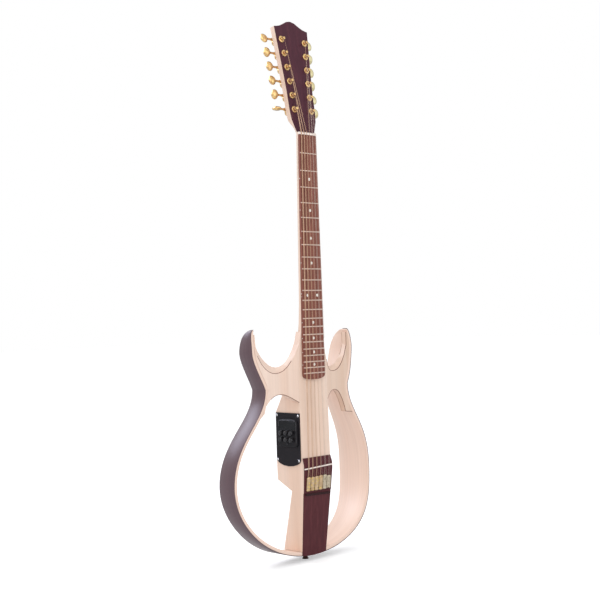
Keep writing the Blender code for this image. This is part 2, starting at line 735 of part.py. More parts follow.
def make_housings(gold):
    """Sealed gear housings, each with the bushing that screws into it through the head."""
    shape = rounded_rectangle(HOUSING_WIDTH, HOUSING_LENGTH, 5 * MM, steps=2)
    bm = bmesh.new()
    add_loft(bm, [[Vector((grow * u, grow * v, z)) for u, v in shape]
                  for grow, z in ((1.0, 0.0), (1.0, 0.72 * HOUSING_THICKNESS), (0.78, HOUSING_THICKNESS))])
    model = finish_object("housing_model", bm, gold, smooth=35)
    face = -SEAT_GAP - CORE_BACK
    profile = [(BUSHING_SLEEVE, 1 * MM), (BUSHING_SLEEVE, face - SEAT_GAP),
               (BUSHING_COLLAR_RADIUS, face - SEAT_GAP),
               (BUSHING_COLLAR_RADIUS, face - SEAT_GAP - 0.6 * BUSHING_COLLAR),
               (0.8 * BUSHING_COLLAR_RADIUS, face - SEAT_GAP - BUSHING_COLLAR)]
    bushing = cut(model, "bushing_shape", add_turned(bmesh.new(), profile, ROUND_SIDES), "UNION")
    bore = [(BUSHING_BORE, face - 5 * MM), (BUSHING_BORE, POST_FOOT - SEAT_GAP + RUNNING_GAP)]
    borer = cut(model, "post_bore", add_turned(bmesh.new(), bore, ROUND_SIDES))
    bpy.context.view_layer.update()
    depsgraph = bpy.context.evaluated_depsgraph_get()
    mesh = bpy.data.meshes.new_from_object(model.evaluated_get(depsgraph))
    for leftover in (model, bushing, borer):
        bpy.data.objects.remove(leftover, do_unlink=True)
    for number, (side, x, along) in enumerate(tuner_stations()):
        housing = bpy.data.objects.new(f"tuner_housing_{tuner_name(number, side)}", mesh)
        bpy.context.scene.collection.objects.link(housing)
        housing.matrix_world = housing_matrix(side, x, along)


def tuner_name(number, side):
    return f"{'bass' if side < 0 else 'treble'}_{number % TUNERS_PER_SIDE + 1}"


KEY_START = HOUSING_WIDTH / 2 + SEAT_GAP
KEY_AXIS = 0.5 * HOUSING_THICKNESS


def key_profile():
    """Half sizes (along the head, through the head) of a key at distances from its post."""
    shaft = KEY_SHAFT_RADIUS
    wide = KEY_BUTTON_LENGTH / 2
    thick = KEY_BUTTON_THICKNESS / 2
    start = KEY_REACH - KEY_BUTTON_WIDTH / 2
    end = KEY_REACH + KEY_BUTTON_WIDTH / 2
    ferrule = KEY_FERRULE_RADIUS
    return ((ferrule, ferrule, KEY_START), (ferrule, ferrule, KEY_START + 2.2 * MM),
            (shaft, shaft, KEY_START + 3 * MM), (shaft, shaft, start - 1 * MM),
            (0.35 * wide, 0.7 * thick, start), (0.75 * wide, 0.93 * thick, start + 2 * MM),
            (0.95 * wide, thick, start + 5 * MM), (wide, thick, KEY_REACH + 1 * MM),
            (0.88 * wide, 0.93 * thick, end - 3.2 * MM), (0.62 * wide, 0.72 * thick, end - 1 * MM),
            (0.3 * wide, 0.4 * thick, end))


def make_tuners(gold):
    """Twelve keys and twelve posts, each on its own axis."""
    rest_turns = (80, -12, 6, 0, -6, 14, 4, -8, 10, 0, 12, -5)
    for number, (side, x, along) in enumerate(tuner_stations()):
        name = tuner_name(number, side)
        axis = housing_matrix(side, x, along) @ Matrix.Translation((0, -side * KEY_OFFSET, KEY_AXIS))
        turned = axis @ Matrix.Rotation(math.radians(rest_turns[number]), 4, "X")
        rings = []
        for half_long, half_thick, reach in key_profile():
            rings.append([Vector((reach, half_long * math.cos(a), half_thick * math.sin(a)))
                          for a in (2 * math.pi * k / SMALL_SIDES for k in range(SMALL_SIDES))])
        finish_object(f"tuner_key_{name}", add_loft(bmesh.new(), rings), gold, turned, smooth=40)
        foot = -CORE_BACK - POST_FOOT
        profile = [(POST_RADIUS, foot), (POST_RADIUS, 0.45 * POST_HEIGHT),
                   (POST_WAIST_RADIUS, 0.5 * POST_HEIGHT), (POST_WAIST_RADIUS, 0.75 * POST_HEIGHT),
                   (POST_RADIUS, 0.82 * POST_HEIGHT), (POST_RADIUS, 0.95 * POST_HEIGHT),
                   (0.8 * POST_RADIUS, POST_HEIGHT)]
        finish_object(f"tuner_post_{name}", add_turned(bmesh.new(), profile, SMALL_SIDES), gold,
                      post_matrix(x, along), smooth=40)


# Body

def make_rims(wood):
    """Two bent bands from the middle of the tail to the horn tips."""
    for side, name in ((-1, "bass_rim"), (1, "treble_rim")):
        outer = outline(side)
        inner = offset_outline(outer, rim_thickness)
        band(name, side, outer, inner, wood)


def rim_thickness(i):
    """Thickness of a rim at a point of the outline: it thins out towards the horn's tip."""
    last_span = OUTLINE_STEPS[-1]
    close = max(i - (sum(OUTLINE_STEPS) - last_span), 0) / last_span
    return RIM_THICKNESS * mix(1.0, RIM_TIP_SHARE, close ** 2)


def band(name, side, outer, inner, mat):
    """A band between two outlines, from the body's front surface to its back surface."""
    rings = []
    stations = list(zip(outer, inner))
    covered = BEAM_TAIL_WIDTH / 2 + SEAT_GAP
    strip_back = STRIP_TAIL_DEPTH + FACING_THICKNESS + SEAT_GAP
    first = stations[0]
    second = stations[1]

    def ring(pair, under_strip):
        (xo, so), (xi, si) = pair
        result = []
        for x, s, face in ((xo, so, "front"), (xi, si, "front"), (xi, si, "back"), (xo, so, "back")):
            front = strip_back if under_strip else rim_front(s)
            depth = front
            if face == "back":
                depth = mix(front, rim_back(side * x, s), horn_taper(side, s))
            result.append(point(side * x, depth, s))
        return result

    def between(t):
        return tuple(tuple(mix(a, b, t) for a, b in zip(p, q)) for p, q in zip(first, second))

    seam = between(0.5 * SEAT_GAP / second[0][0])
    rings.append(ring(seam, True))
    # A small step keeps the rim clear of the strip that covers it at the tail
    crossing = [i for i, (_, n) in enumerate(stations) if n[0] < covered]
    for i in crossing[1:]:
        rings.append(ring(stations[i], True))
    low = stations[crossing[-1]]
    high = stations[crossing[-1] + 1]
    t = (covered - low[1][0]) / (high[1][0] - low[1][0])
    for extra, under in ((0.0, True), (0.02, False)):
        pair = tuple(tuple(mix(a, b, t + extra) for a, b in zip(p, q)) for p, q in zip(low, high))
        rings.append(ring(pair, under))
    for pair in stations[crossing[-1] + 1:]:
        rings.append(ring(pair, False))
    return finish_object(name, add_loft(bmesh.new(), rings), mat, smooth=30)


def rim_face(side):
    """Where a wing meets the rim, from the bout to the horn's tip, as (station, half width)."""
    face = offset_outline(outline(side), lambda i: rim_thickness(i) + SEAT_GAP)
    return sorted((s, x) for x, s in face if s < BOUT_STATION)


def wing_point(face, share, station):
    """A point at a share of the way from the beam's side to the rim, as (half width, station)."""
    return (mix(beam_half_width(station) + SEAT_GAP, table(face, station), share), station)


def wing_front(face, x, station):
    """Depth of a wing's front: it falls from the beam's edge to the rim's."""
    near = beam_half_width(station) + SEAT_GAP
    share = (x - near) / (table(face, station) - near)
    return mix(FRONT_OF_BEAM, rim_front(station), min(max(share, 0.0), 1.0))


def wing_edge(controls, top, bottom, steps):
    """An edge made of two curves, as (share, station)."""
    placed = [(share, mix(top, bottom, t)) for share, t in controls]
    return [placed[0]] + bezier(*placed[:4], steps) + bezier(*placed[3:], steps)


def wing_shapes(side, face):
    """Front and back outlines of one upper wing, as lists of (half width, station)."""
    if side < 0:
        cutaway, lip, arch, foot = BASS_CUTAWAY, BASS_LIP, BASS_ARCH, BASS_FOOT
    else:
        cutaway, lip, arch, foot = TREBLE_CUTAWAY, TREBLE_LIP, TREBLE_ARCH, TREBLE_FOOT
    lower = wing_edge(arch, ARCH_TOP, ARCH_FOOT, 5) + [(share, ARCH_FOOT + drop) for share, drop in foot]
    shapes = []
    for controls in (cutaway, lip):
        upper = wing_edge(controls, CUTAWAY_TOP, CUTAWAY_BOTTOM, 7)
        top = upper[-1][1]
        rim_side = [(1.0, s) for s, _ in reversed(face)
                    if top + 2 * WING_EDGE_STEP < s < lower[-1][1] - WING_EDGE_STEP]
        beam_side = [(0.0, s) for s in HEEL_STATIONS if upper[0][1] < s < lower[0][1]]
        edge = beam_side + lower + rim_side + [(1.0, top + 0.5 * WING_EDGE_STEP)] + list(reversed(upper))
        shapes.append([wing_point(face, *place) for place in edge])
    return shapes


def make_wings(wood):
    """Boards between the beam and the rims, bent in slices so that they meet both."""
    for side, name in ((-1, "bass_wing"), (1, "treble_wing")):
        face = rim_face(side)
        bm = bmesh.new()
        shapes = wing_shapes(side, face)
        add_loft(bm, [[Vector((x, depth, s)) for x, s in shape]
                      for shape, depth in zip(shapes, (0.0, WING_THICKNESS))])
        slices = int((BOUT_STATION - CUTAWAY_TOP) / WING_SLICE)
        for i in range(slices):
            bmesh.ops.bisect_plane(bm, geom=bm.verts[:] + bm.edges[:] + bm.faces[:],
                                   plane_co=(0, 0, CUTAWAY_TOP + (i + 0.5) * WING_SLICE),
                                   plane_no=(0, 0, 1))
        bmesh.ops.triangulate(bm, faces=bm.faces)
        for vert in bm.verts:
            x, depth, station = vert.co
            vert.co = point(side * x, depth + wing_front(face, x, station), station)
        finish_object(name, bm, wood, smooth=35)


# Bridge end

def make_tail_strip(dark_wood):
    """A dark strip down the beam's lower front, ending flush with the tail's outer face."""
    outer = outline()
    head_half = beam_half_width(BRIDGE_END)
    tail_half = BEAM_TAIL_WIDTH / 2
    tail = sorted((x, s) for x, s in outer if x < BOUT_HALF_WIDTH and s > BOUT_STATION)
    edge = [(f * tail_half, table(tail, f * tail_half)) for f in (1.0, 0.5, 0.0)]
    shape = [(head_half, BRIDGE_END + SEAT_GAP)] + edge
    shape = shape + [(-x, s) for x, s in reversed(shape[:-1])]
    near = [point(x, strip_depth(s), s) for x, s in shape]
    far = [point(x, strip_depth(s) + FACING_THICKNESS, s) for x, s in shape]
    return finish_object("tail_strip", add_loft(bmesh.new(), [near, far]), dark_wood)


def bridge_top(station):
    return table(((BRIDGE_START, BRIDGE_NOSE_TOP), (SADDLE_STATION - BRIDGE_CREST_HALF, BRIDGE_CREST),
                  (SADDLE_STATION + BRIDGE_CREST_HALF, BRIDGE_CREST),
                  (BRIDGE_END, BRIDGE_HEEL_TOP)), station)


def saddle_matrix(depth):
    """Axes at the saddle: X along it, Y towards the back."""
    return (Matrix.Translation(point(0, depth, SADDLE_STATION))
            @ Matrix.Rotation(-SADDLE_SLANT, 4, "Y"))


def make_bridge(dark_wood, bone):
    stations = (BRIDGE_START, SADDLE_STATION - BRIDGE_CREST_HALF, SADDLE_STATION + BRIDGE_CREST_HALF,
                BRIDGE_END)
    rings = []
    for station in stations:
        inset = table(((BRIDGE_START, BRIDGE_NOSE_INSET), (SADDLE_STATION, BRIDGE_INSET)), station)
        half = beam_half_width(station) - inset
        top = bridge_top(station)
        base = top + FACING_THICKNESS
        rings.append([point(-half, base, station), point(-half, top, station),
                      point(half, top, station), point(half, base, station)])
    bridge = finish_object("bridge", add_loft(bmesh.new(), rings), dark_wood)
    slot = bmesh.new()
    half_slot = 0.5 * BEAM_WIDTH + 1 * MM
    width = 0.5 * SADDLE_THICKNESS + SEAT_GAP
    place = saddle_matrix(BRIDGE_CREST)
    add_box(slot, (-half_slot, -3 * MM, -width), (half_slot, SLOT_DEPTH, width), place)
    cut(bridge, "saddle_slot_cutter", slot)

    saddle = bmesh.new()
    half = 0.5 * SADDLE_LENGTH
    thick = 0.5 * SADDLE_THICKNESS
    bottom = SLOT_DEPTH - SEAT_GAP
    crest = SADDLE_TOP - BRIDGE_CREST
    profile = ((bottom, -thick), (crest + 0.6 * MM, -thick), (crest, -0.4 * thick),
               (crest, 0.4 * thick), (crest + 0.6 * MM, thick), (bottom, thick))
    ends = [[place @ Vector((x, y, z)) for y, z in profile] for x in (-half, half)]
    add_loft(saddle, ends)
    finish_object("saddle", saddle, bone)


def anchor_x(index):
    return (index - (len(STRING_DIAMETERS) - 1) / 2) * ANCHOR_PITCH


def anchor_depth(station):
    """Depth of the axis of the string anchors, which lie on the bridge."""
    return bridge_top(station) - SEAT_GAP - ANCHOR_BASE


def anchor_block(bm):
    """Twelve ribs side by side on one base, each of which holds a string's end."""
    count = len(STRING_DIAMETERS)
    rings = []
    for station, size in ((ANCHOR_START, 0.7), (ANCHOR_START + 1.5 * MM, 1.0),
                          (ANCHOR_START + ANCHOR_LENGTH - 1 * MM, 1.0),
                          (ANCHOR_START + ANCHOR_LENGTH, 0.8)):
        axis = anchor_depth(station)
        side = anchor_x(count - 1) + ANCHOR_RADIUS
        ring = [point(side, axis + ANCHOR_BASE, station), point(-side, axis + ANCHOR_BASE, station)]
        for index in range(count):
            for k in range(5):
                a = math.pi - math.pi * k / 4
                ring.append(point(anchor_x(index) + ANCHOR_RADIUS * math.cos(a),
                                  axis - size * ANCHOR_RADIUS * math.sin(a), station))
        rings.append(ring)
    return add_loft(bm, rings)


def string_x(index, course_pitch, pair_spacing):
    course = index // 2
    side = -0.5 if index % 2 == 0 else 0.5
    return (course - 2.5) * course_pitch + side * pair_spacing


def post_for_string(index):
    """The outer strings go to the posts nearest the nut, the middle ones to the far posts."""
    places = tuner_stations()
    if index < TUNERS_PER_SIDE:
        return places[index]
    return places[2 * TUNERS_PER_SIDE - 1 - (index - TUNERS_PER_SIDE)]


def string_path(index):
    radius = STRING_DIAMETERS[index] / 2
    saddle_x = string_x(index, COURSE_PITCH_AT_SADDLE, PAIR_SPACING_AT_SADDLE)
    nut_x = string_x(index, COURSE_PITCH_AT_NUT, PAIR_SPACING_AT_NUT)
    grip = ANCHOR_START + STRING_GRIP
    start = point(anchor_x(index), anchor_depth(grip) - 0.35 * ANCHOR_RADIUS, grip)
    lift = SEAT_GAP + radius
    saddle_station = SADDLE_STATION - saddle_x * math.tan(SADDLE_SLANT)
    saddle = point(saddle_x, SADDLE_TOP - lift, saddle_station)
    nut = point(nut_x, -NUT_HEIGHT - lift, -0.25 * NUT_LENGTH)
    nut_rear = point(nut_x, -NUT_HEIGHT - lift + 0.1 * MM, -0.55 * NUT_LENGTH)
    side, post_x, along = post_for_string(index)
    reach = POST_WAIST_RADIUS + lift
    turn = math.radians(62) if along < FIRST_TUNER + 1 * MM else 0.0
    end = head_matrix() @ Vector((post_x - side * reach * math.cos(turn), -0.62 * POST_HEIGHT,
                                  along - reach * math.sin(turn)))
    return [start, saddle, nut, nut_rear, end]


def make_strings(bronze):
    """The twelve strings, held together at their lower ends by the block of anchors."""
    strings = bmesh.new()
    for index, diameter in enumerate(STRING_DIAMETERS):
        add_tube(strings, string_path(index), diameter / 2, STRING_SIDES)
    block = finish_object("string_set", anchor_block(bmesh.new()), bronze, smooth=40)
    cut(block, "string_bars", strings, "UNION")
    return block


# Electronics

def on_bass_side(depth, station, rise=0.0):
    """Axes on the beam's bass side: Z points out of it, X towards the back, Y up."""
    place = Matrix.Translation(point(-BEAM_WIDTH / 2 - rise, depth, station))
    turn = Matrix(((0, 0, -1, 0), (1, 0, 0, 0), (0, -1, 0, 0), (0, 0, 0, 1)))
    flip = Matrix.Rotation(math.pi, 4, "Z")
    return place @ turn @ flip


PLATE_BASE = SEAT_GAP
PLATE_FACE = PLATE_BASE + PLATE_THICKNESS
MODULE_CENTRE = (MODULE_FRONT + MODULE_WIDTH / 2, MODULE_TOP + MODULE_HEIGHT / 2)
MODULE_FACE = PLATE_FACE + SEAT_GAP + MODULE_RISE


def side_ring(shape, depth, station, rise):
    """Points of a flat shape (towards the back, up) held at a distance off the beam's side."""
    return [point(-BEAM_WIDTH / 2 - rise, depth + u, station - v) for u, v in shape]


def make_plate(black):
    """The black plate: square corners above and a round lower end."""
    middle = 0.5 * (PLATE_FRONT + PLATE_BACK)
    half = 0.5 * (PLATE_BACK - PLATE_FRONT)
    shape = [(PLATE_FRONT, PLATE_TOP), (PLATE_BACK, PLATE_TOP), (PLATE_BACK, PLATE_BOTTOM)]
    for i in range(1, 8):
        a = math.pi * i / 8
        shape.append((middle + half * math.cos(a), PLATE_BOTTOM + PLATE_BULGE * math.sin(a) ** 1.2))
    shape.append((PLATE_FRONT, PLATE_BOTTOM))
    rings = [[point(-BEAM_WIDTH / 2 - rise, depth, station) for depth, station in shape]
             for rise in (PLATE_BASE, PLATE_FACE)]
    plate = finish_object("preamp_plate", add_loft(bmesh.new(), rings), black)
    window = bmesh.new()
    gap = MODULE_BODY_INSET - SEAT_GAP
    opening = module_shape(gap)
    depth, station = MODULE_CENTRE
    add_loft(window, [side_ring(opening, depth, station, rise)
                      for rise in (PLATE_BASE - 1 * MM, PLATE_FACE + 1 * MM)])
    cut(plate, "plate_window_cutter", window)
    cut(plate, "plate_screw_heads", plate_screws(bmesh.new()), "UNION")
    return plate


def plate_screws(bm):
    inset = PLATE_SCREW_INSET
    for depth in (PLATE_FRONT + inset, PLATE_BACK - inset):
        for station in (PLATE_TOP + PLATE_SCREW_DROP, PLATE_BOTTOM):
            place = on_bass_side(depth, station, PLATE_FACE)
            profile = [(PLATE_SCREW_RADIUS, -0.5 * PLATE_THICKNESS),
                       (PLATE_SCREW_RADIUS, 0.4 * PLATE_SCREW_HEAD),
                       (0.55 * PLATE_SCREW_RADIUS, PLATE_SCREW_HEAD)]
            add_turned(bm, profile, SMALL_SIDES, place)
    return bm


def knob_places():
    depth = MODULE_CENTRE[0] + KNOB_SHIFT
    return [(depth + column * KNOB_PITCH, MODULE_TOP + drop)
            for drop in KNOB_DROPS for column in (1, 0, -1)]


def module_shape(inset):
    """The module's outline moved inwards, with round corners and a slightly arched top."""
    width = MODULE_WIDTH - 2 * inset
    length = MODULE_HEIGHT - 2 * inset
    corners = rounded_rectangle(width, length, MODULE_CORNER - 0.5 * inset)
    per_corner = len(corners) // 4
    crown = [(u * width, 0.5 * length) for u in (0.25, 0.0, -0.25)]
    shape = corners[:per_corner] + crown + corners[per_corner:]
    return [(u, v - MODULE_ARCH * (2 * u / width) ** 2 if v > 0 else v) for u, v in shape]


def make_module(black, glass, knob_black, grey):
    """The preamp module: a raised bezel outside the plate and a box behind it."""
    depth, station = MODULE_CENTRE
    bezel = module_shape(0.0)
    bevel = module_shape(1 * MM)
    body = module_shape(MODULE_BODY_INSET)
    module_back = PLATE_FACE + SEAT_GAP
    rings = [side_ring(bevel, depth, station, MODULE_FACE),
             side_ring(bezel, depth, station, MODULE_FACE - 1 * MM),
             side_ring(bezel, depth, station, module_back),
             side_ring(body, depth, station, module_back),
             side_ring(body, depth, station, module_back - MODULE_BODY_DEPTH)]
    module = finish_object("preamp_module", add_loft(bmesh.new(), rings), black, smooth=40)

    holes = bmesh.new()
    hole = (KNOB_SHAFT_RADIUS + RUNNING_GAP) / math.cos(math.pi / SMALL_SIDES)
    for knob_depth, knob_station in knob_places():
        place = on_bass_side(knob_depth, knob_station, MODULE_FACE)
        add_turned(holes, [(hole, -KNOB_SHAFT_LENGTH - SEAT_GAP), (hole, 2 * MM)], SMALL_SIDES, place)
    button_station = MODULE_TOP + BUTTON_DROP
    button_hole = (BUTTON_RADIUS + RUNNING_GAP) / math.cos(math.pi / SMALL_SIDES)
    place = on_bass_side(depth, button_station, MODULE_FACE)
    add_turned(holes, [(button_hole, -4.5 * MM), (button_hole, 2 * MM)], SMALL_SIDES, place)
    screen_station = MODULE_TOP + DISPLAY_MARGIN + DISPLAY_HEIGHT / 2
    screen_width = MODULE_WIDTH - 2 * DISPLAY_MARGIN
    recess = rounded_rectangle(screen_width + 2 * SEAT_GAP, DISPLAY_HEIGHT + 2 * SEAT_GAP, 2 * MM, steps=1)
    add_loft(holes, [side_ring(recess, depth, screen_station, rise)
                     for rise in (MODULE_FACE - DISPLAY_THICKNESS - SEAT_GAP, MODULE_FACE + 1 * MM)])
    cut(module, "module_hole_cutter", holes)

    screen = rounded_rectangle(screen_width, DISPLAY_HEIGHT, 2 * MM, steps=1)
    finish_object("display_window", add_loft(bmesh.new(), [
        side_ring(screen, depth, screen_station, rise)
        for rise in (MODULE_FACE - DISPLAY_THICKNESS, MODULE_FACE)]), glass)

    for number, (knob_depth, knob_station) in enumerate(knob_places(), start=1):
        profile = [(KNOB_SHAFT_RADIUS, -KNOB_SHAFT_LENGTH), (KNOB_SHAFT_RADIUS, SEAT_GAP),
                   (KNOB_RADIUS, SEAT_GAP), (0.94 * KNOB_RADIUS, 0.8 * KNOB_HEIGHT),
                   (0.7 * KNOB_RADIUS, KNOB_HEIGHT)]
        place = on_bass_side(knob_depth, knob_station, MODULE_FACE)
        finish_object(f"knob_{number}", add_turned(bmesh.new(), profile, ROUND_SIDES), knob_black,
                      place, smooth=40)

    profile = [(BUTTON_RADIUS, -1.5 * MM), (BUTTON_RADIUS, 0.7 * BUTTON_RISE),
               (0.75 * BUTTON_RADIUS, BUTTON_RISE)]
    finish_object("tuner_button", add_turned(bmesh.new(), profile, SMALL_SIDES), grey,
                  on_bass_side(depth, button_station, MODULE_FACE), smooth=40)


def make_output_jack(chrome):
    """A jack socket with its nut on the beam's treble side."""
    place = (Matrix.Translation(point(BEAM_WIDTH / 2, JACK_DEPTH, JACK_STATION))
             @ Matrix.Rotation(math.pi / 2, 4, "Y"))
    inside = -JACK_LENGTH + SEAT_GAP
    profile = [(JACK_BORE_RADIUS, inside + 3 * MM), (JACK_BORE_RADIUS, JACK_RISE),
               (JACK_BARREL_RADIUS, JACK_RISE), (JACK_BARREL_RADIUS, 0.75 * JACK_RISE),
               (JACK_NUT_RADIUS, 0.7 * JACK_RISE), (JACK_NUT_RADIUS, SEAT_GAP),
               (JACK_BARREL_RADIUS, SEAT_GAP), (JACK_BARREL_RADIUS, inside)]
    return finish_object("output_jack", add_turned(bmesh.new(), profile, ROUND_SIDES, place),
                         chrome, smooth=35)


def make_strap_button(brown):
    """A flared button that points down from the middle of the tail."""
    length = STRAP_BUTTON_LENGTH
    profile = [(STRAP_BUTTON_RADIUS, 0), (STRAP_BUTTON_RADIUS, 0.12 * length),
               (0.85 * STRAP_BUTTON_RADIUS, 0.25 * length), (STRAP_BUTTON_NECK_RADIUS, 0.6 * length),
               (STRAP_BUTTON_NECK_RADIUS, 0.85 * length), (1.3 * STRAP_BUTTON_NECK_RADIUS, length)]
    return finish_object("strap_button", add_turned(bmesh.new(), profile, ROUND_SIDES), brown, smooth=35)


def main():
    clear_scene()
    maple = material("maple", (0.80, 0.62, 0.46), 0.45)
    rim_maple = material("rim_maple", (0.82, 0.64, 0.50), 0.45)
    face = material("head_face", (0.07, 0.025, 0.03), 0.3)
    rosewood = material("rosewood", (0.22, 0.09, 0.06), 0.5)
    dark = material("bridge_rosewood", (0.09, 0.03, 0.03), 0.45)
    bone = material("bone", (0.85, 0.80, 0.68), 0.4)
    gold = material("gold", (0.83, 0.58, 0.20), 0.25, 1.0)
    bronze = material("bronze", (0.70, 0.48, 0.28), 0.4, 1.0)
    black = material("black_plastic", (0.02, 0.02, 0.022), 0.5)
    module_black = material("module_black", (0.03, 0.03, 0.032), 0.35)
    knob_black = material("knob_black", (0.015, 0.015, 0.016), 0.4)
    glass = material("display_glass", (0.01, 0.01, 0.012), 0.1)
    grey = material("button_grey", (0.35, 0.35, 0.36), 0.45)
    chrome = material("chrome", (0.75, 0.75, 0.76), 0.15, 1.0)
    brown = material("strap_brown", (0.12, 0.06, 0.04), 0.35)

    make_neck_beam(maple)
    make_fingerboard(rosewood)
    make_nut(bone)
    make_head_veneer(face)
    make_housings(gold)
    make_tuners(gold)
    make_rims(rim_maple)
    make_wings(maple)
    make_tail_strip(dark)
    make_bridge(dark, bone)
    make_strings(bronze)
    make_plate(black)
    make_module(module_black, glass, knob_black, grey)
    make_output_jack(chrome)
    make_strap_button(brown)


main()
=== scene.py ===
"""The look of a twelve-string silent guitar: camera, light, materials and dressed pieces."""
import json
import math
import random

import bmesh
import bpy
from mathutils import Matrix, Vector
from mathutils.bvhtree import BVHTree


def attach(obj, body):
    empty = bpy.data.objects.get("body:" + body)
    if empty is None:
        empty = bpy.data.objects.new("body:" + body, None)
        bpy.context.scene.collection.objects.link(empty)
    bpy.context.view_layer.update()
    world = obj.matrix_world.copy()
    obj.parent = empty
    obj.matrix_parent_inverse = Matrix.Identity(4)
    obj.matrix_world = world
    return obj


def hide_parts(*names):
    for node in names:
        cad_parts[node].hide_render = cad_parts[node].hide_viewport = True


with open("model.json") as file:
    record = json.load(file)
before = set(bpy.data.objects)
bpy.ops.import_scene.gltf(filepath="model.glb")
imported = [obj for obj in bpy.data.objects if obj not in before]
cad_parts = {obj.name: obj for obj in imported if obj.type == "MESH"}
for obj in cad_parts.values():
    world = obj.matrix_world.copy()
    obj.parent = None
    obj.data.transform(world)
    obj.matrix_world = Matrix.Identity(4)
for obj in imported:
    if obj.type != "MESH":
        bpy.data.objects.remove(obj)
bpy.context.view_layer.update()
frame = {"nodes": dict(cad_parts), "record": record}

MM = 0.001
WELD = 0.001 * MM
NODES = frame["nodes"]
BODY_OF = {node: body for body, nodes in frame["record"]["behaviour"]["bodies"].items() for node in nodes}
ROOT = "instrument"

# Driving sizes, the same as the solids' where no comment says otherwise
SCALE_LENGTH = 650 * MM
FRET_COUNT = 22
NUT_WIDTH = 46.5 * MM
BOARD_END_WIDTH = 60.5 * MM
BOARD_LENGTH = 480 * MM
BOARD_THICKNESS = 4.5 * MM
BOARD_END_ROUND = 12 * MM
BOARD_NUT_GAP = 0.3 * MM
BEAM_WIDTH = 79.5 * MM
BEAM_TAIL_WIDTH = 65 * MM
NUT_Z = 836.5 * MM
AXIS_DEPTH = 40 * MM
HEAD_TILT = math.radians(9)
HEAD_FACE_DEPTH = 4.7 * MM
TAIL_STATION = 826 * MM
BOUT_STATION = 676 * MM
BOUT_HALF_WIDTH = 190 * MM
WAIST_STATION = 495.5 * MM
WAIST_HALF_WIDTH = 116 * MM
HORN_STATION = 420.5 * MM
HORN_HALF_WIDTH = 140.5 * MM
BASS_TIP_STATION = 379 * MM
TREBLE_TIP_STATION = 383.5 * MM
HORN_TIP_INSET = 10 * MM
TAIL_FLATNESS = 0.44
LOWER_BOUT_FULLNESS = 0.72
UPPER_BOUT_FULLNESS = 0.52
WAIST_LOWER_FULLNESS = 0.325
WAIST_UPPER_FULLNESS = 0.04
HORN_LOWER_FULLNESS = 0.35
HORN_UPPER_FULLNESS = 0.55
RIM_THICKNESS = 7.5 * MM
RIM_TIP_SHARE = 0.5
SKIN = 1.1 * MM
RIM_FRONTS = ((BASS_TIP_STATION, 32.6 * MM), (HORN_STATION, 28 * MM), (WAIST_STATION, 19.4 * MM),
              (BOUT_STATION, 33 * MM), (TAIL_STATION, 14.3 * MM))
RIM_BACKS = ((BASS_TIP_STATION, 94 * MM), (WAIST_STATION, 68.2 * MM), (BOUT_STATION, 94.2 * MM),
             (TAIL_STATION, 68.5 * MM))
BACK_WEDGE = 0.1
HORN_TAPER_LENGTH = 105 * MM
TIP_EDGE = 0.6 * MM
STRIP_BACK = 16.2 * MM
HEAD_EDGE = ((5.5 * MM, 23.4 * MM), (14 * MM, 27 * MM), (30 * MM, 32.8 * MM), (48 * MM, 34.8 * MM),
             (85 * MM, 35.6 * MM), (118 * MM, 37.5 * MM), (171 * MM, 41.5 * MM), (219 * MM, 45.5 * MM))
FIRST_TUNER = 50.5 * MM
TUNER_PITCH = 28.5 * MM
POST_INSET = 11.3 * MM
POST_HEIGHT = 9.5 * MM
POST_WAIST_RADIUS = 2.4 * MM
SADDLE_STATION = 651.5 * MM
SADDLE_SLANT = math.radians(2)
SADDLE_TOP = -5.2 * MM
NUT_HEIGHT = 1.3 * MM
COURSE_COUNT = 6
TUNERS_A_SIDE = 6
COURSE_PITCH_AT_NUT = 7.65 * MM
COURSE_PITCH_AT_SADDLE = 11.5 * MM
PAIR_SPACING_AT_NUT = 2.0 * MM
PAIR_SPACING_AT_SADDLE = 2.8 * MM
BRIDGE_TOPS = ((632 * MM, 0.3 * MM), (645 * MM, -3.6 * MM), (658 * MM, -3.6 * MM), (700 * MM, 0.4 * MM))
ANCHOR_START = 668 * MM
ANCHOR_END = 697 * MM
ANCHOR_PITCH = 5.65 * MM
ANCHOR_RADIUS = 2.5 * MM
# The anchor blocks stand a little higher than the solids' barrels
ANCHOR_BASE = 1.2 * MM
# Real gauges, bass to treble; the solids' strings are a little thicker
STRING_DIAMETERS = (1.19 * MM, 0.69 * MM, 0.99 * MM, 0.46 * MM, 0.76 * MM, 0.33 * MM,
                    0.58 * MM, 0.25 * MM, 0.38 * MM, 0.38 * MM, 0.28 * MM, 0.28 * MM)
WOUND_STRINGS = 7
PLATE_FACE = 2.3 * MM
MODULE_FACE = 5.6 * MM
MODULE_DEPTHS = (8 * MM, 62 * MM)
MODULE_STATIONS = (556 * MM, 610.5 * MM)
KNOB_DEPTH = 37 * MM
KNOB_ROWS = (583.5 * MM, 596.3 * MM)
KNOB_PITCH = 14.4 * MM
SCREW_DEPTHS = (7.8 * MM, 66.4 * MM)
SCREW_STATIONS = (549.5 * MM, 637 * MM)

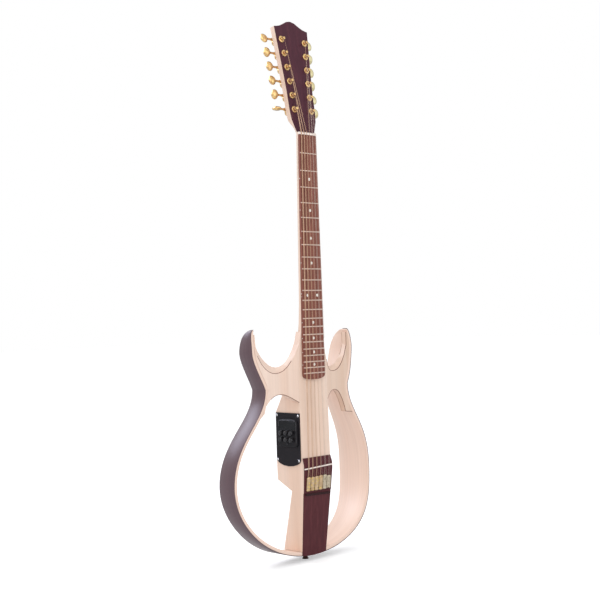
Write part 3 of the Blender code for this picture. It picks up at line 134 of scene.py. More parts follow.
# Sizes of the look alone; the profiles and crosses are in millimetres
BOARD_END_STEPS = 24
BOARD_END_SQUARENESS = 0.7
FRET_HALF_WIDTH = 1.2 * MM
FRET_HEIGHT = 1.1 * MM
FRET_LIFT = 0.02 * MM
FRET_SINK = 0.4 * MM
FRET_STEPS = 6
FRET_END_GAP = 0.3 * MM
FRET_END_SLOPE = 0.8 * MM
FRET_END_SHARE = 0.45
DOT_FRETS = (3, 5, 7, 9, 12, 15, 17, 19, 21)
DOUBLE_DOT_FRET = 12
DOT_SPREAD = 13.5 * MM
DOT_PROFILE = ((2.9, -0.6), (2.9, 0.0), (2.7, 0.06))
SIDE_DOT_SPREAD = 3 * MM
SIDE_DOT_DEPTH = 2.2 * MM
SIDE_DOT_PROFILE = ((0.9, -0.5), (0.9, 0.05))
OUTLINE_STEPS = (34, 24, 20, 14)
RIM_SOFTENING = 0.9 * MM
SKIN_SOFTENING = 0.35 * MM
SOFTENING_LIMIT = 0.45
# A rim's corner goes from flat to flat in steps: shares of the softening along and across
CORNER_STEPS = ((0.0, 1.0), (0.3, 0.3), (1.0, 0.0))
RIM_JOINT_GAP = 0.15 * MM
STRIP_MARGIN = 0.3 * MM
EDGE_LINE_RADIUS = 0.65 * MM
EDGE_LINE_SINK = 0.35 * MM
# An opening's edge lies between a face that looks forward and a wall that doesn't
FRONT_NORMAL = -0.93
WALL_NORMALS = (-0.88, 0.6)
# The lines end this far from the rims and the beam
BASS_RIM_MARGIN = 5 * MM
TREBLE_RIM_MARGIN = 2.6 * MM
CUTAWAY_BEAM_MARGIN = 12 * MM
BEAM_MARGIN = 1 * MM
SHORTEST_LINE = 4
GLUE_LINE_RADIUS = 0.35 * MM
GLUE_LINE_DEPTH = 12 * MM
GLUE_LINE_REACH = 4 * MM
# The strings lie in shallow notches of the saddle and the nut
SADDLE_NOTCH = 0.05 * MM
NUT_NOTCH = 0.1 * MM
NUT_REAR_NOTCH = 0.25 * MM
NUT_EDGES = (-1.2 * MM, -2.8 * MM)
# Shares of the way to the saddle and on to the nut; points there keep the bend short
SADDLE_BEND = (0.93, 0.02)
ANCHOR_GRIP = 2 * MM
STRING_OVER_ANCHOR = 0.8 * MM
# The first posts are close to the nut, so their strings meet them at a slant
FIRST_POST_TURN = math.radians(62)
WOUND_TURNS = 3
PLAIN_TURNS = 4
TURN_LEVEL = 0.66
TURN_PITCH = 2.1
TURN_LIMIT = 2.4 * MM
TURN_STEPS = 16
# An anchor block's stations from its head and from its foot, and its share of the full size there
ANCHOR_HEAD = ((0.0, 0.3), (0.5, 0.62), (1.4, 0.84), (2.8, 0.96))
ANCHOR_FOOT = ((5.2, 0.84), (4.4, 0.84), (3.4, 0.97), (1.6, 0.97), (0.6, 0.84), (0.1, 0.55))
ANCHOR_RIBS = 14
ANCHOR_RIB_ENDS = (3.4 * MM, 6 * MM)
ANCHOR_GROOVE_SHARE = 0.93
ANCHOR_SIDES = 28
ANCHOR_WIDTH_SHARE = 0.97
ANCHOR_SQUARENESS = (0.6, 0.75)
BRASS_ANCHORS = 4
LAST_ANCHOR_DROP = 2.5 * MM
# The dark strip at the bridge's foot is painted shadow of its step down to the tail strip
FOOT_SHADOW_ENDS = ((-BEAM_WIDTH / 2 + 6 * MM, 701 * MM), (BEAM_WIDTH / 2 - 6 * MM, 704 * MM))
FOOT_SHADOW_PROFILE = ((1.2 * MM, 0), (-0.3 * MM, 0.3 * MM), (-0.3 * MM, 4.2 * MM), (1.2 * MM, 4.5 * MM))
SCREW_PROFILE = ((2.42, -0.1), (2.42, 0.45), (2.0, 0.95), (1.0, 1.24))
SCREW_TURN = 20
SCREW_SLOT = ((-1.3, -0.22), (1.3, -0.22), (1.3, 0.22), (-1.3, 0.22))
SCREW_SLOT_RISES = (0.9, 1.27)
LIP_INSET = 3 * MM
LIP_CORNER = 6 * MM
LIP_RADIUS = 0.3 * MM
LIP_STEPS = 6
# A knob's radii and heights, and the share of a whole flute there
KNOB_PROFILE = ((4.75, 0.35, 0), (5.0, 0.6, 0), (5.0, 1.0, 0), (4.7, 1.2, 1),
                (4.45, 4.2, 1), (4.2, 4.7, 0.4), (3.4, 5.0, 0), (1.4, 4.9, 0))
KNOB_SIDES = 60
KNOB_FLUTES = 20
KNOB_FLUTE_DEPTH = 0.035
KNOB_RING = ((4.1, 4.65), (4.5, 4.5), (4.35, 5.0))
KNOB_LINE = ((-0.3, 1.2), (0.3, 1.2), (0.3, 3.9), (-0.3, 3.9))
KNOB_LINE_RISES = (4.7, 5.0)
KNOB_TURNS = (20, -15, 5, -30, 10, 40)
COLLAR_PROFILE = ((3.6, 0.35), (6.75, 0.35), (6.82, 0.7), (6.5, 1.3), (5.6, 1.9), (4.6, 2.32),
                  (3.6, 2.32))
FLOOR_HALF_SIZE = 14.0
FLOOR_LEVEL = -0.6 * MM
FLOOR_GREY = 0.86
FLOOR_LIFT = 0.4
WORLD_COLOUR = (0.96, 0.98, 1.0, 1)
WORLD_STRENGTH = 0.84
WHITE = (1, 1, 1, 1)


def point(x, depth, station):
    """A place given across the strings, behind the fingerboard's top and below the nut."""
    return Vector((x, depth - AXIS_DEPTH, NUT_Z - station))


def mix(a, b, t):
    return a + (b - a) * t


def table(stations, x, smooth=False):
    """Read a table of places and values, with straight or eased ways between them."""
    if x <= stations[0][0]:
        return stations[0][1]
    for (x0, v0), (x1, v1) in zip(stations, stations[1:]):
        if x <= x1:
            t = (x - x0) / (x1 - x0)
            return mix(v0, v1, 0.5 - 0.5 * math.cos(math.pi * t) if smooth else t)
    return stations[-1][1]


def bezier(p0, p1, p2, p3, steps):
    """Points of a cubic curve, without its first one."""
    points = []
    for i in range(1, steps + 1):
        t = i / steps
        u = 1 - t
        points.append(tuple(u ** 3 * a + 3 * u * u * t * b + 3 * u * t * t * c + t ** 3 * d
                            for a, b, c, d in zip(p0, p1, p2, p3)))
    return points


def srgb(r, g, b):
    """Linear colour from an 8-bit display colour."""
    return tuple((c / 255 / 12.92) if c <= 10 else ((c / 255 + 0.055) / 1.055) ** 2.4 for c in (r, g, b))


# Camera

FOCAL_PIXELS = 1200
IMAGE_PIXELS = 600
CAMERA_YAW = math.radians(45.14)
CAMERA_PITCH = math.radians(-0.55)
CAMERA_ROLL = math.radians(-1.62)
CAMERA_OFFSET = Vector((15.5 * MM, -324.5 * MM, 2360.1 * MM))


def make_camera():
    """The camera fitted to the fret rows: its rows point right, down and forward."""
    sy, cy = math.sin(CAMERA_YAW), math.cos(CAMERA_YAW)
    sp, cp = math.sin(CAMERA_PITCH), math.cos(CAMERA_PITCH)
    sr, cr = math.sin(CAMERA_ROLL), math.cos(CAMERA_ROLL)
    turn = Matrix(((cy, -sy, 0), (0, 0, -1), (sy, cy, 0)))
    tip = Matrix(((1, 0, 0), (0, cp, -sp), (0, sp, cp)))
    lean = Matrix(((cr, -sr, 0), (sr, cr, 0), (0, 0, 1)))
    rows = lean @ tip @ turn
    place = -(rows.transposed() @ CAMERA_OFFSET) + Vector((0, -AXIS_DEPTH, NUT_Z))
    axes = Matrix((rows[0], -rows[1], -rows[2])).transposed()
    data = bpy.data.cameras.new("camera")
    data.sensor_width = 36
    data.lens = 36 * FOCAL_PIXELS / IMAGE_PIXELS
    camera = bpy.data.objects.new("camera", data)
    camera.matrix_world = Matrix.Translation(place) @ axes.to_4x4()
    bpy.context.scene.collection.objects.link(camera)
    bpy.context.scene.camera = camera


# Materials

class Graph:
    """A short way to write a material's nodes."""

    def __init__(self, name):
        self.material = bpy.data.materials.new(name)
        self.material.use_nodes = True
        self.tree = self.material.node_tree
        self.shader = self.tree.nodes["Principled BSDF"]

    def node(self, kind, **values):
        made = self.tree.nodes.new(kind)
        for key, value in values.items():
            if hasattr(made, key) and key not in made.inputs:
                setattr(made, key, value)
            else:
                made.inputs[key.replace("_", " ")].default_value = value
        return made

    def link(self, output, target):
        self.tree.links.new(output, target)

    def set(self, name, value):
        self.shader.inputs[name].default_value = value

    def feed(self, name, output):
        self.link(output, self.shader.inputs[name])

    def coordinates(self, scale, source="Object"):
        coords = self.node("ShaderNodeTexCoord")
        mapping = self.node("ShaderNodeMapping")
        mapping.inputs["Scale"].default_value = scale
        self.link(coords.outputs[source], mapping.inputs["Vector"])
        return mapping.outputs["Vector"]

    def noise(self, scale, detail, rough=0.55, distortion=0.0, source="Object"):
        vector = self.coordinates(scale, source)
        made = self.node("ShaderNodeTexNoise")
        made.inputs["Scale"].default_value = 1.0
        made.inputs["Detail"].default_value = detail
        made.inputs["Roughness"].default_value = rough
        made.inputs["Distortion"].default_value = distortion
        self.link(vector, made.inputs["Vector"])
        return made.outputs["Fac"]

    def ramp(self, value, stops):
        made = self.node("ShaderNodeValToRGB")
        ramp = made.color_ramp
        while len(ramp.elements) < len(stops):
            ramp.elements.new(0.5)
        for element, (place, colour) in zip(ramp.elements, stops):
            element.position = place
            element.color = (*colour, 1.0)
        self.link(value, made.inputs["Fac"])
        return made.outputs["Color"]

    def mask(self, value, low, high):
        """Black below low and white above high."""
        return self.ramp(value, ((low, (0, 0, 0)), (high, (1, 1, 1))))

    def blend(self, factor, a, b, mode="MIX"):
        made = self.node("ShaderNodeMix", data_type="RGBA", blend_type=mode)
        if isinstance(factor, float):
            made.inputs["Factor"].default_value = factor
        else:
            self.link(factor, made.inputs["Factor"])
        for value, socket in ((a, made.inputs["A"]), (b, made.inputs["B"])):
            if isinstance(value, tuple):
                socket.default_value = (*value, 1.0)
            else:
                self.link(value, socket)
        return made.outputs["Result"]

    def spread(self, value, low, high):
        made = self.node("ShaderNodeMapRange")
        made.inputs["To Min"].default_value = low
        made.inputs["To Max"].default_value = high
        self.link(value, made.inputs["Value"])
        return made.outputs["Result"]

    def bump(self, value, distance, strength):
        made = self.node("ShaderNodeBump")
        made.inputs["Distance"].default_value = distance
        made.inputs["Strength"].default_value = strength
        self.link(value, made.inputs["Height"])
        self.feed("Normal", made.outputs["Normal"])


def add_plies(g, colour, plies):
    """Darker glue lines across a laminate, the same on both sides of its middle."""
    split = g.node("ShaderNodeSeparateXYZ")
    g.link(g.coordinates((1, 1, 1)), split.inputs[0])
    across = g.node("ShaderNodeMath", operation="ABSOLUTE")
    g.link(split.outputs["X"], across.inputs[0])
    for place, half_width, dim in plies:
        line = g.node("ShaderNodeMath", operation="COMPARE")
        line.inputs[1].default_value = place
        line.inputs[2].default_value = half_width
        g.link(across.outputs[0], line.inputs[0])
        darker = g.blend(1.0, colour, (dim, dim, dim), "MULTIPLY")
        colour = g.blend(line.outputs[0], colour, darker)
    return colour


def pale_wood(name, light, dark, grain=(150, 150, 3.2), bands=(38, 38, 0.5), source="Object", plies=()):
    """Pale close-grained wood: soft bands, fine streaks along the grain, and a thin satin coat."""
    g = Graph(name)
    fine = g.noise(grain, 6.0, 0.62, source=source)
    broad = g.noise(bands, 3.0, 0.5, 0.4, source=source)
    shade = tuple(0.86 * c for c in light)
    shine = tuple(min(1, 1.05 * c) for c in light)
    streak = g.ramp(fine, ((0.30, shade), (0.55, light), (0.8, shine)))
    band = g.ramp(broad, ((0.35, dark), (0.62, light)))
    colour = g.blend(0.55, streak, band)
    if plies:
        colour = add_plies(g, colour, plies)
    g.feed("Base Color", colour)
    g.feed("Roughness", g.spread(fine, 0.36, 0.52))
    g.bump(fine, 0.06 * MM, 0.35)
    g.set("Specular IOR Level", 0.4)
    g.set("Coat Weight", 0.08)
    g.set("Coat Roughness", 0.35)
    return g.material


def dark_wood(name, base, streak, dim, specular, rough=0.38, source="Object", stripe=(230, 230, 2.2),
              coat=0.0, pore_shade=0.6):
    """Dark open-grained wood: long pale and dark streaks with short pores."""
    g = Graph(name)
    long_grain = g.noise(stripe, 5.0, 0.6, 0.3, source=source)
    colour = g.ramp(long_grain, ((0.32, tuple(dim * c for c in base)), (0.5, base), (0.72, streak)))
    pore = g.noise((900, 900, 26), 2.0, 0.5, source=source)
    colour = g.blend(g.mask(pore, 0.58, 0.66), colour, tuple(pore_shade * c for c in base))
    g.feed("Base Color", colour)
    g.feed("Roughness", g.spread(long_grain, rough - 0.06, rough + 0.12))
    g.bump(pore, 0.05 * MM, 0.3)
    g.set("Specular IOR Level", specular)
    g.set("Coat Weight", coat)
    g.set("Coat Roughness", 0.3)
    return g.material


def metal(name, base, tint, rough, scratches=0.10, edge=None, painted_spots=None):
    """Polished metal with faint tarnish, painted spots of light and shade, painted shade where it turns
    away, and fine scratches.
    """
    g = Graph(name)
    cloud = g.noise((120, 120, 120), 3.0)
    scratch = g.noise((2400, 500, 500), 3.0)
    colour = g.ramp(cloud, ((0.3, tint), (0.7, base)))
    if painted_spots:
        # Painted light and shade: each material's spot colour says which
        painted_spot_mask = g.noise((260, 260, 260), 2.0, 0.5, 0.6)
        colour = g.blend(g.mask(painted_spot_mask, 0.58, 0.68), colour, painted_spots)
    if edge:
        # Painted shade: darker where the surface turns away from the camera, in place of dark reflections
        facing = g.node("ShaderNodeLayerWeight", Blend=0.5)
        colour = g.blend(g.mask(facing.outputs["Facing"], 0.45, 0.72), colour, edge)
    g.feed("Base Color", colour)
    g.feed("Roughness", g.spread(scratch, rough, rough + scratches))
    g.bump(scratch, 0.02 * MM, 0.2)
    g.set("Metallic", 1.0)
    return g.material


def plastic(name, base, rough, grain=1600, depth=0.04 * MM, specular=0.4):
    """Moulded plastic with a fine grain and slightly worn sheen."""
    g = Graph(name)
    pebble = g.noise((grain, grain, grain), 2.0)
    cloud = g.noise((60, 60, 60), 3.0)
    shade = tuple(0.8 * c for c in base)
    shine = tuple(1.15 * c for c in base)
    g.feed("Base Color", g.ramp(cloud, ((0.3, shade), (0.7, shine))))
    g.feed("Roughness", g.spread(cloud, rough - 0.05, rough + 0.1))
    g.bump(pebble, depth, 0.5)
    g.set("Specular IOR Level", specular)
    return g.material


def pearl(name):
    """Shell with a soft swirl under a clear polish."""
    g = Graph(name)
    swirl = g.noise((320, 320, 320), 4.0, 0.5, 1.2)
    lustre = g.ramp(swirl, ((0.3, srgb(222, 216, 202)), (0.6, srgb(250, 246, 238))))
    g.feed("Base Color", lustre)
    g.set("Roughness", 0.22)
    g.set("Coat Weight", 0.6)
    return g.material


def wound_wire(name, base, tint):
    """Wire wound on a core: close ridges along the string."""
    g = Graph(name)
    coords = g.coordinates((1, 1, 1))
    wave = g.node("ShaderNodeTexWave", wave_type="BANDS", bands_direction="Z")
    wave.inputs["Scale"].default_value = 700
    g.link(coords, wave.inputs["Vector"])
    cloud = g.noise((40, 40, 40), 3.0)
    g.feed("Base Color", g.ramp(cloud, ((0.3, tint), (0.7, base))))
    g.bump(wave.outputs["Fac"], 0.08 * MM, 0.6)
    g.set("Metallic", 1.0)
    g.set("Roughness", 0.34)
    return g.material


def display_glass(name):
    """A dark window with hardly any texture."""
    g = Graph(name)
    cloud = g.noise((30, 30, 30), 2.0)
    tone = g.ramp(cloud, ((0.3, srgb(16, 17, 20)), (0.7, srgb(24, 26, 30))))
    g.feed("Base Color", tone)
    g.feed("Roughness", g.spread(cloud, 0.05, 0.12))
    g.set("Specular IOR Level", 0.2)
    return g.material


# The beam's glue lines: place from its middle, half width, and share of the wood's brightness
BEAM_PLIES = ((4.2 * MM, 0.5 * MM, 0.86), (13.5 * MM, 0.45 * MM, 0.9), (24 * MM, 0.5 * MM, 0.88))
MAPLE = pale_wood("maple", srgb(236, 211, 195), srgb(224, 190, 168))
# The treble wing's maple is darker than the bass wing's: painted shade, as that side lies further from the
# lamps
TREBLE_SHADE_MAPLE = pale_wood("treble_shade_maple", srgb(226, 198, 178), srgb(214, 178, 152))
BEAM_WOOD = pale_wood("beam_maple", srgb(238, 212, 194), srgb(222, 188, 164), plies=BEAM_PLIES)
RIM_WOOD = pale_wood("rim_wood", srgb(242, 216, 200), srgb(230, 196, 176), grain=(4, 260, 1),
                     bands=(1.2, 46, 1), source="UV")
SKIN_WOOD = dark_wood("skin_wood", srgb(84, 58, 66), srgb(98, 70, 76), dim=0.88, rough=0.34, source="UV",
                      stripe=(3, 420, 1), coat=0.25, pore_shade=0.9, specular=0.5)
ROSEWOOD = dark_wood("rosewood", srgb(132, 80, 68), srgb(158, 102, 88), dim=0.7, specular=0.15)
BRIDGE_WOOD = dark_wood("bridge_wood", srgb(84, 40, 45), srgb(96, 50, 53), dim=0.88, rough=0.42,
                        pore_shade=0.85, specular=0.12)
FACE_WOOD = dark_wood("face_wood", srgb(78, 40, 52), srgb(92, 48, 58), dim=0.86, rough=0.3,
                      stripe=(150, 150, 4), pore_shade=0.88, specular=0.12)
# Near-black for the bridge foot's strip: painted shadow
FOOT_SHADOW_DARK = dark_wood("foot_shadow_dark", srgb(52, 30, 32), srgb(60, 36, 38), dim=0.85, specular=0.1)
# Brown for the lines along the openings' front edges: painted shade of their creases
CREASE_SHADE_BROWN = dark_wood("edge_shade_line", srgb(132, 92, 76), srgb(146, 106, 90), dim=0.85, specular=0.15)
GLUE_BROWN = dark_wood("glue_line", srgb(172, 134, 112), srgb(184, 148, 126), dim=0.9, specular=0.15)
BONE = plastic("bone", srgb(244, 230, 220), 0.35, grain=500, depth=0.02 * MM)
# The gold's darker brown spots are painted reflections of dark surroundings
GOLD = metal("gold", srgb(238, 206, 142), srgb(218, 170, 120), 0.14, edge=srgb(140, 108, 58),
             painted_spots=srgb(158, 132, 78))
# The treble keys' paler gold is a painted reflection: they are the same gold as the posts and housings
TREBLE_KEY_REFLECTION_GOLD = metal("treble_key_reflection_gold", srgb(228, 222, 180), srgb(214, 196, 146), 0.14, edge=srgb(150, 132, 84))
# The brass's yellow spots are painted highlights
BRASS = metal("brass", srgb(212, 186, 150), srgb(180, 150, 116), 0.30, 0.16, edge=srgb(104, 82, 60),
              painted_spots=srgb(226, 196, 96))
# The pale brass's dark olive spots are painted shade of holes among the anchors
PALE_BRASS = metal("pale_brass", srgb(214, 202, 180), srgb(178, 164, 140), 0.26, 0.16,
                   edge=srgb(86, 76, 56), painted_spots=srgb(96, 84, 58))
NICKEL = metal("nickel", srgb(232, 212, 200), srgb(210, 188, 174), 0.24)
CHROME = metal("chrome", srgb(225, 225, 228), srgb(198, 198, 202), 0.12, edge=srgb(96, 96, 100))
BRONZE = wound_wire("bronze_wire", srgb(214, 180, 152), srgb(190, 154, 128))
STEEL = metal("steel_wire", srgb(222, 206, 194), srgb(196, 178, 166), 0.3)
BLACK = plastic("black_plate", srgb(32, 30, 34), 0.5, grain=2200, specular=0.12)
MODULE_BLACK = plastic("module_black", srgb(24, 23, 27), 0.32, grain=3000, depth=0.02 * MM, specular=0.15)
KNOB_BLACK = plastic("knob_black", srgb(30, 29, 32), 0.34, specular=0.3)
MARK = plastic("pointer_white", srgb(128, 128, 130), 0.5, specular=0.15)
# Bright grey for the module's lip and the knobs' rings: painted highlights on glossy black
HIGHLIGHT_GREY = metal("highlight_grey", srgb(132, 132, 136), srgb(70, 70, 74), 0.3, edge=srgb(40, 40, 44))
GREY = plastic("button_grey", srgb(58, 58, 62), 0.45, specular=0.15)
STRAP_BROWN = plastic("strap_brown", srgb(74, 46, 40), 0.3)
PEARL = pearl("pearl")
GLASS = display_glass("display_glass")


# Pieces

def add_object(name, bm, mat, body=ROOT, smooth=35, instead=()):
    """Turn a bmesh into a piece that rides a body and may stand in for solids."""
    bmesh.ops.recalc_face_normals(bm, faces=bm.faces)
    mesh = bpy.data.meshes.new(name)
    bm.to_mesh(mesh)
    bm.free()
    mesh.materials.append(mat)
    mesh.shade_smooth()
    mesh.set_sharp_from_angle(angle=math.radians(smooth))
    obj = bpy.data.objects.new(name, mesh)
    bpy.context.scene.collection.objects.link(obj)
    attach(obj, body)
    if instead:
        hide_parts(*instead)
    return obj


def add_loft(bm, rings, closed=False, uv=None):
    """Skin equal rings of points; uv gives (along, across) for each point."""
    loops = [[bm.verts.new(p) for p in ring] for ring in rings]
    layer = bm.loops.layers.uv.verify() if uv else None
    count = len(loops[0])
    for r in range(len(loops) - 1 + (1 if closed else 0)):
        low, high = loops[r], loops[(r + 1) % len(loops)]
        for i in range(count):
            j = (i + 1) % count
            face = bm.faces.new((low[i], low[j], high[j], high[i]))
            if uv:
                for loop, (a, b) in zip(face.loops, ((r, i), (r, i + 1), (r + 1, i + 1), (r + 1, i))):
                    loop[layer].uv = uv(a, b)
    if not closed:
        bm.faces.new(list(reversed(loops[0])))
        bm.faces.new(loops[-1])


def add_turned(bm, profile, place, sides=36, closed=False):
    """Turn a profile of radii and heights in millimetres about a place's Z."""
    rings = []
    for radius, height in profile:
        r = radius * MM
        ring = []
        for i in range(sides):
            a = 2 * math.pi * i / sides
            ring.append(place @ Vector((r * math.cos(a), r * math.sin(a), height * MM)))
        rings.append(ring)
    add_loft(bm, rings, closed)


def add_prism(bm, corners, rises, place):
    """A small block with its corners and its two heights in millimetres."""
    add_loft(bm, [[place @ Vector((x * MM, y * MM, z * MM)) for x, y in corners] for z in rises])


def add_bevel(obj, width, segments, angle):
    """Round the edges that are sharper than an angle in degrees."""
    modifier = obj.modifiers.new("edges", "BEVEL")
    modifier.width = width
    modifier.segments = segments
    modifier.limit_method = "ANGLE"
    modifier.angle_limit = math.radians(angle)


def dress(node, mat, bevel, segments=2, subdivide=0, smooth=35):
    """A copy of a solid with its edges rounded and its own material."""
    bm = bmesh.new()
    bm.from_mesh(NODES[node].data)
    bmesh.ops.remove_doubles(bm, verts=bm.verts, dist=WELD)
    bmesh.ops.dissolve_limit(bm, angle_limit=math.radians(1), verts=bm.verts, edges=bm.edges)
    obj = add_object(f"{node}_shape", bm, mat, BODY_OF[node], smooth=smooth, instead=(node,))
    if bevel:
        add_bevel(obj, bevel, segments, angle=32)
    if subdivide:
        modifier = obj.modifiers.new("round", "SUBSURF")
        modifier.levels = subdivide
        modifier.render_levels = subdivide


def fret_station(number):
    """How far below the nut a fret lies."""
    return SCALE_LENGTH * (1 - 2 ** (-number / 12))


def board_half_width(station):
    return 0.5 * mix(NUT_WIDTH, BOARD_END_WIDTH, station / fret_station(FRET_COUNT))


def make_fingerboard():
    """Rosewood board with a rolled edge, crowned frets, inlaid dots and side dots."""
    make_board()
    make_frets()
    make_dots()


def make_board():
    straight = BOARD_LENGTH - BOARD_END_ROUND
    half = board_half_width(straight)
    shape = [(-board_half_width(0), BOARD_NUT_GAP), (-half, straight)]
    for i in range(1, BOARD_END_STEPS):
        a = math.radians(180 - 180 * i / BOARD_END_STEPS)
        reach = abs(math.cos(a)) ** BOARD_END_SQUARENESS * math.copysign(1, math.cos(a))
        shape.append((half * reach, straight + BOARD_END_ROUND * math.sin(a) ** BOARD_END_SQUARENESS))
    shape += [(half, straight), (board_half_width(0), BOARD_NUT_GAP)]
    bm = bmesh.new()
    add_loft(bm, [[point(x, depth, s) for x, s in shape] for depth in (0, BOARD_THICKNESS)])
    board = add_object("fingerboard_wood", bm, ROSEWOOD, instead=("fingerboard",))
    add_bevel(board, 0.5 * MM, segments=3, angle=30)


def make_frets():
    """Half-round wires whose ends slope down."""
    bm = bmesh.new()
    for number in range(1, FRET_COUNT + 1):
        station = fret_station(number)
        half = board_half_width(station) - FRET_END_GAP
        inner = half - FRET_END_SLOPE
        rings = []
        for x, share in ((-half, FRET_END_SHARE), (-inner, 1.0), (inner, 1.0), (half, FRET_END_SHARE)):
            ring = [point(x, FRET_SINK, station + FRET_HALF_WIDTH),
                    point(x, FRET_SINK, station - FRET_HALF_WIDTH)]
            for k in range(FRET_STEPS + 1):
                a = math.pi * k / FRET_STEPS
                crown = FRET_HEIGHT * share * math.sin(a) + FRET_LIFT
                ring.append(point(x, -crown, station - FRET_HALF_WIDTH * math.cos(a)))
            rings.append(ring)
        add_loft(bm, rings)
    add_object("fret_wire", bm, NICKEL)


def make_dots():
    """Dots in the board's face, and small ones in its bass edge."""
    dots, side_dots = bmesh.new(), bmesh.new()
    for number in DOT_FRETS:
        station = 0.5 * (fret_station(number) + fret_station(number - 1))
        double = number == DOUBLE_DOT_FRET
        for x in ((-DOT_SPREAD, DOT_SPREAD) if double else (0.0,)):
            face = Matrix.Translation(point(x, 0, station)) @ Matrix.Rotation(math.pi / 2, 4, "X")
            add_turned(dots, DOT_PROFILE, face, sides=24)
        for shift in ((-SIDE_DOT_SPREAD, SIDE_DOT_SPREAD) if double else (0.0,)):
            centre = point(-board_half_width(station), SIDE_DOT_DEPTH, station + shift)
            edge = Matrix.Translation(centre) @ Matrix.Rotation(-math.pi / 2, 4, "Y")
            add_turned(side_dots, SIDE_DOT_PROFILE, edge, sides=12)
    add_object("dot_inlays", dots, PEARL)
    add_object("side_dots", side_dots, PEARL)


# Rims

def tip_station(side):
    return BASS_TIP_STATION if side < 0 else TREBLE_TIP_STATION


def outline(side):
    """Outer outline of one half of the body, tail to horn tip."""
    tail = (0.0, TAIL_STATION)
    bout = (BOUT_HALF_WIDTH, BOUT_STATION)
    waist = (WAIST_HALF_WIDTH, WAIST_STATION)
    horn = (HORN_HALF_WIDTH, HORN_STATION)
    tip = (HORN_HALF_WIDTH - HORN_TIP_INSET, tip_station(side))
    lower = TAIL_STATION - BOUT_STATION
    middle = BOUT_STATION - WAIST_STATION
    upper = WAIST_STATION - HORN_STATION
    end = HORN_STATION - tip[1]
    spans = (
        (tail, (TAIL_FLATNESS * BOUT_HALF_WIDTH, TAIL_STATION),
         (BOUT_HALF_WIDTH, BOUT_STATION + LOWER_BOUT_FULLNESS * lower), bout),
        (bout, (BOUT_HALF_WIDTH, BOUT_STATION - UPPER_BOUT_FULLNESS * middle),
         (WAIST_HALF_WIDTH, WAIST_STATION + WAIST_LOWER_FULLNESS * middle), waist),
        (waist, (WAIST_HALF_WIDTH, WAIST_STATION - WAIST_UPPER_FULLNESS * upper),
         (HORN_HALF_WIDTH, HORN_STATION + HORN_LOWER_FULLNESS * upper), horn),
        (horn, (HORN_HALF_WIDTH, HORN_STATION - HORN_UPPER_FULLNESS * end),
         (tip[0] + 0.8 * HORN_TIP_INSET, tip[1]), tip),
    )
    points = [tail]
    for span, steps in zip(spans, OUTLINE_STEPS):
        points += bezier(*span, steps)
    return points


def normals(points):
    """Unit normals into the body; the outline goes on mirrored before its first point."""
    result = []
    for i in range(len(points)):
        before = points[i - 1] if i else (-points[1][0], points[1][1])
        after = points[min(i + 1, len(points) - 1)]
        tangent = Vector((after[0] - before[0], after[1] - before[1])).normalized()
        result.append((tangent.y, -tangent.x))
    return result


def rim_front(station):
    return table(RIM_FRONTS, station, smooth=True)


def rim_back(x, station):
    return table(RIM_BACKS, station, smooth=True) + BACK_WEDGE * x


def horn_taper(side, station):
    """A rim's share of its depth: less and less towards the horn's tip."""
    t = min(max((station - tip_station(side) + TIP_EDGE) / HORN_TAPER_LENGTH, 0.0), 1.0)
    return math.sqrt(1 - (1 - t) ** 2)


def make_rims():
    """Each rim as a pale bent core and a dark skin on its outside."""
    for side, name in ((-1, "bass"), (1, "treble")):
        make_rim(side, name, "core", SKIN, RIM_THICKNESS, RIM_SOFTENING)
        make_rim(side, name, "skin", 0.0, SKIN, SKIN_SOFTENING)


def rim_ring(side, place, normal, near, far, soften):
    """A rim's section between two distances from the outline, with softened corners."""
    (x, s), (nx, ns) = place, normal
    soften = min(soften, SOFTENING_LIMIT * (far - near))
    under_strip = abs(x + nx * far) < BEAM_TAIL_WIDTH / 2 + STRIP_MARGIN
    ring = []
    corners = ((near, "front", 1), (far, "front", -1), (far, "back", -1), (near, "back", 1))
    for offset, face, turn in corners:
        forward = (face == "front") == (turn > 0)
        for along, across in CORNER_STEPS if forward else reversed(CORNER_STEPS):
            d = offset + turn * soften * along
            px, ps = x + nx * d, s + ns * d
            front = STRIP_BACK if under_strip else rim_front(ps)
            depth = front + soften * across
            if face == "back":
                whole = rim_back(side * px, ps) - front
                depth = front + whole * horn_taper(side, ps) - soften * across
            ring.append(point(side * px, depth, ps))
    return ring


def make_rim(side, name, label, near, far, soften):
    points = outline(side)
    start = len(points) - 1 - OUTLINE_STEPS[-1]
    lengths = [0.0]
    rings = []
    for i, (place, normal) in enumerate(zip(points, normals(points))):
        if i:
            lengths.append(lengths[-1] + math.dist(points[i - 1], place))
        thin = mix(1.0, RIM_TIP_SHARE, (max(i - start, 0) / OUTLINE_STEPS[-1]) ** 2)
        rings.append(rim_ring(side, place, normal, near, far * thin, soften))
    rings[0] = [Vector((side * RIM_JOINT_GAP, p.y, p.z)) for p in rings[0]]
    # One ring near the tail gives the lengths round the section for all of them
    section = rings[5]
    around = [0.0]
    for a, b in zip(section, section[1:] + section[:1]):
        around.append(around[-1] + (a - b).length)
    bm = bmesh.new()
    add_loft(bm, rings, uv=lambda a, b: (lengths[a], around[b]))
    if label == "core":
        add_object(f"{name}_rim_core", bm, RIM_WOOD, instead=(f"{name}_rim",))
    else:
        add_object(f"{name}_rim_skin", bm, SKIN_WOOD)


# Lines along the wings' openings, with painted shade at their front edges

def follow(ways):
    """Chains of neighbours, each from one open end to the other."""
    chains = []
    seen = set()
    for start in sorted((v for v in ways if len(ways[v]) == 1), key=lambda v: tuple(v.co)):
        if start in seen:
            continue
        chain = [start]
        seen.add(start)
        while True:
            ahead = [v for v in ways[chain[-1]] if v not in seen]
            if not ahead:
                break
            chain.append(ahead[0])
            seen.add(ahead[0])
        chains.append([v.co.copy() for v in chain])
    return chains


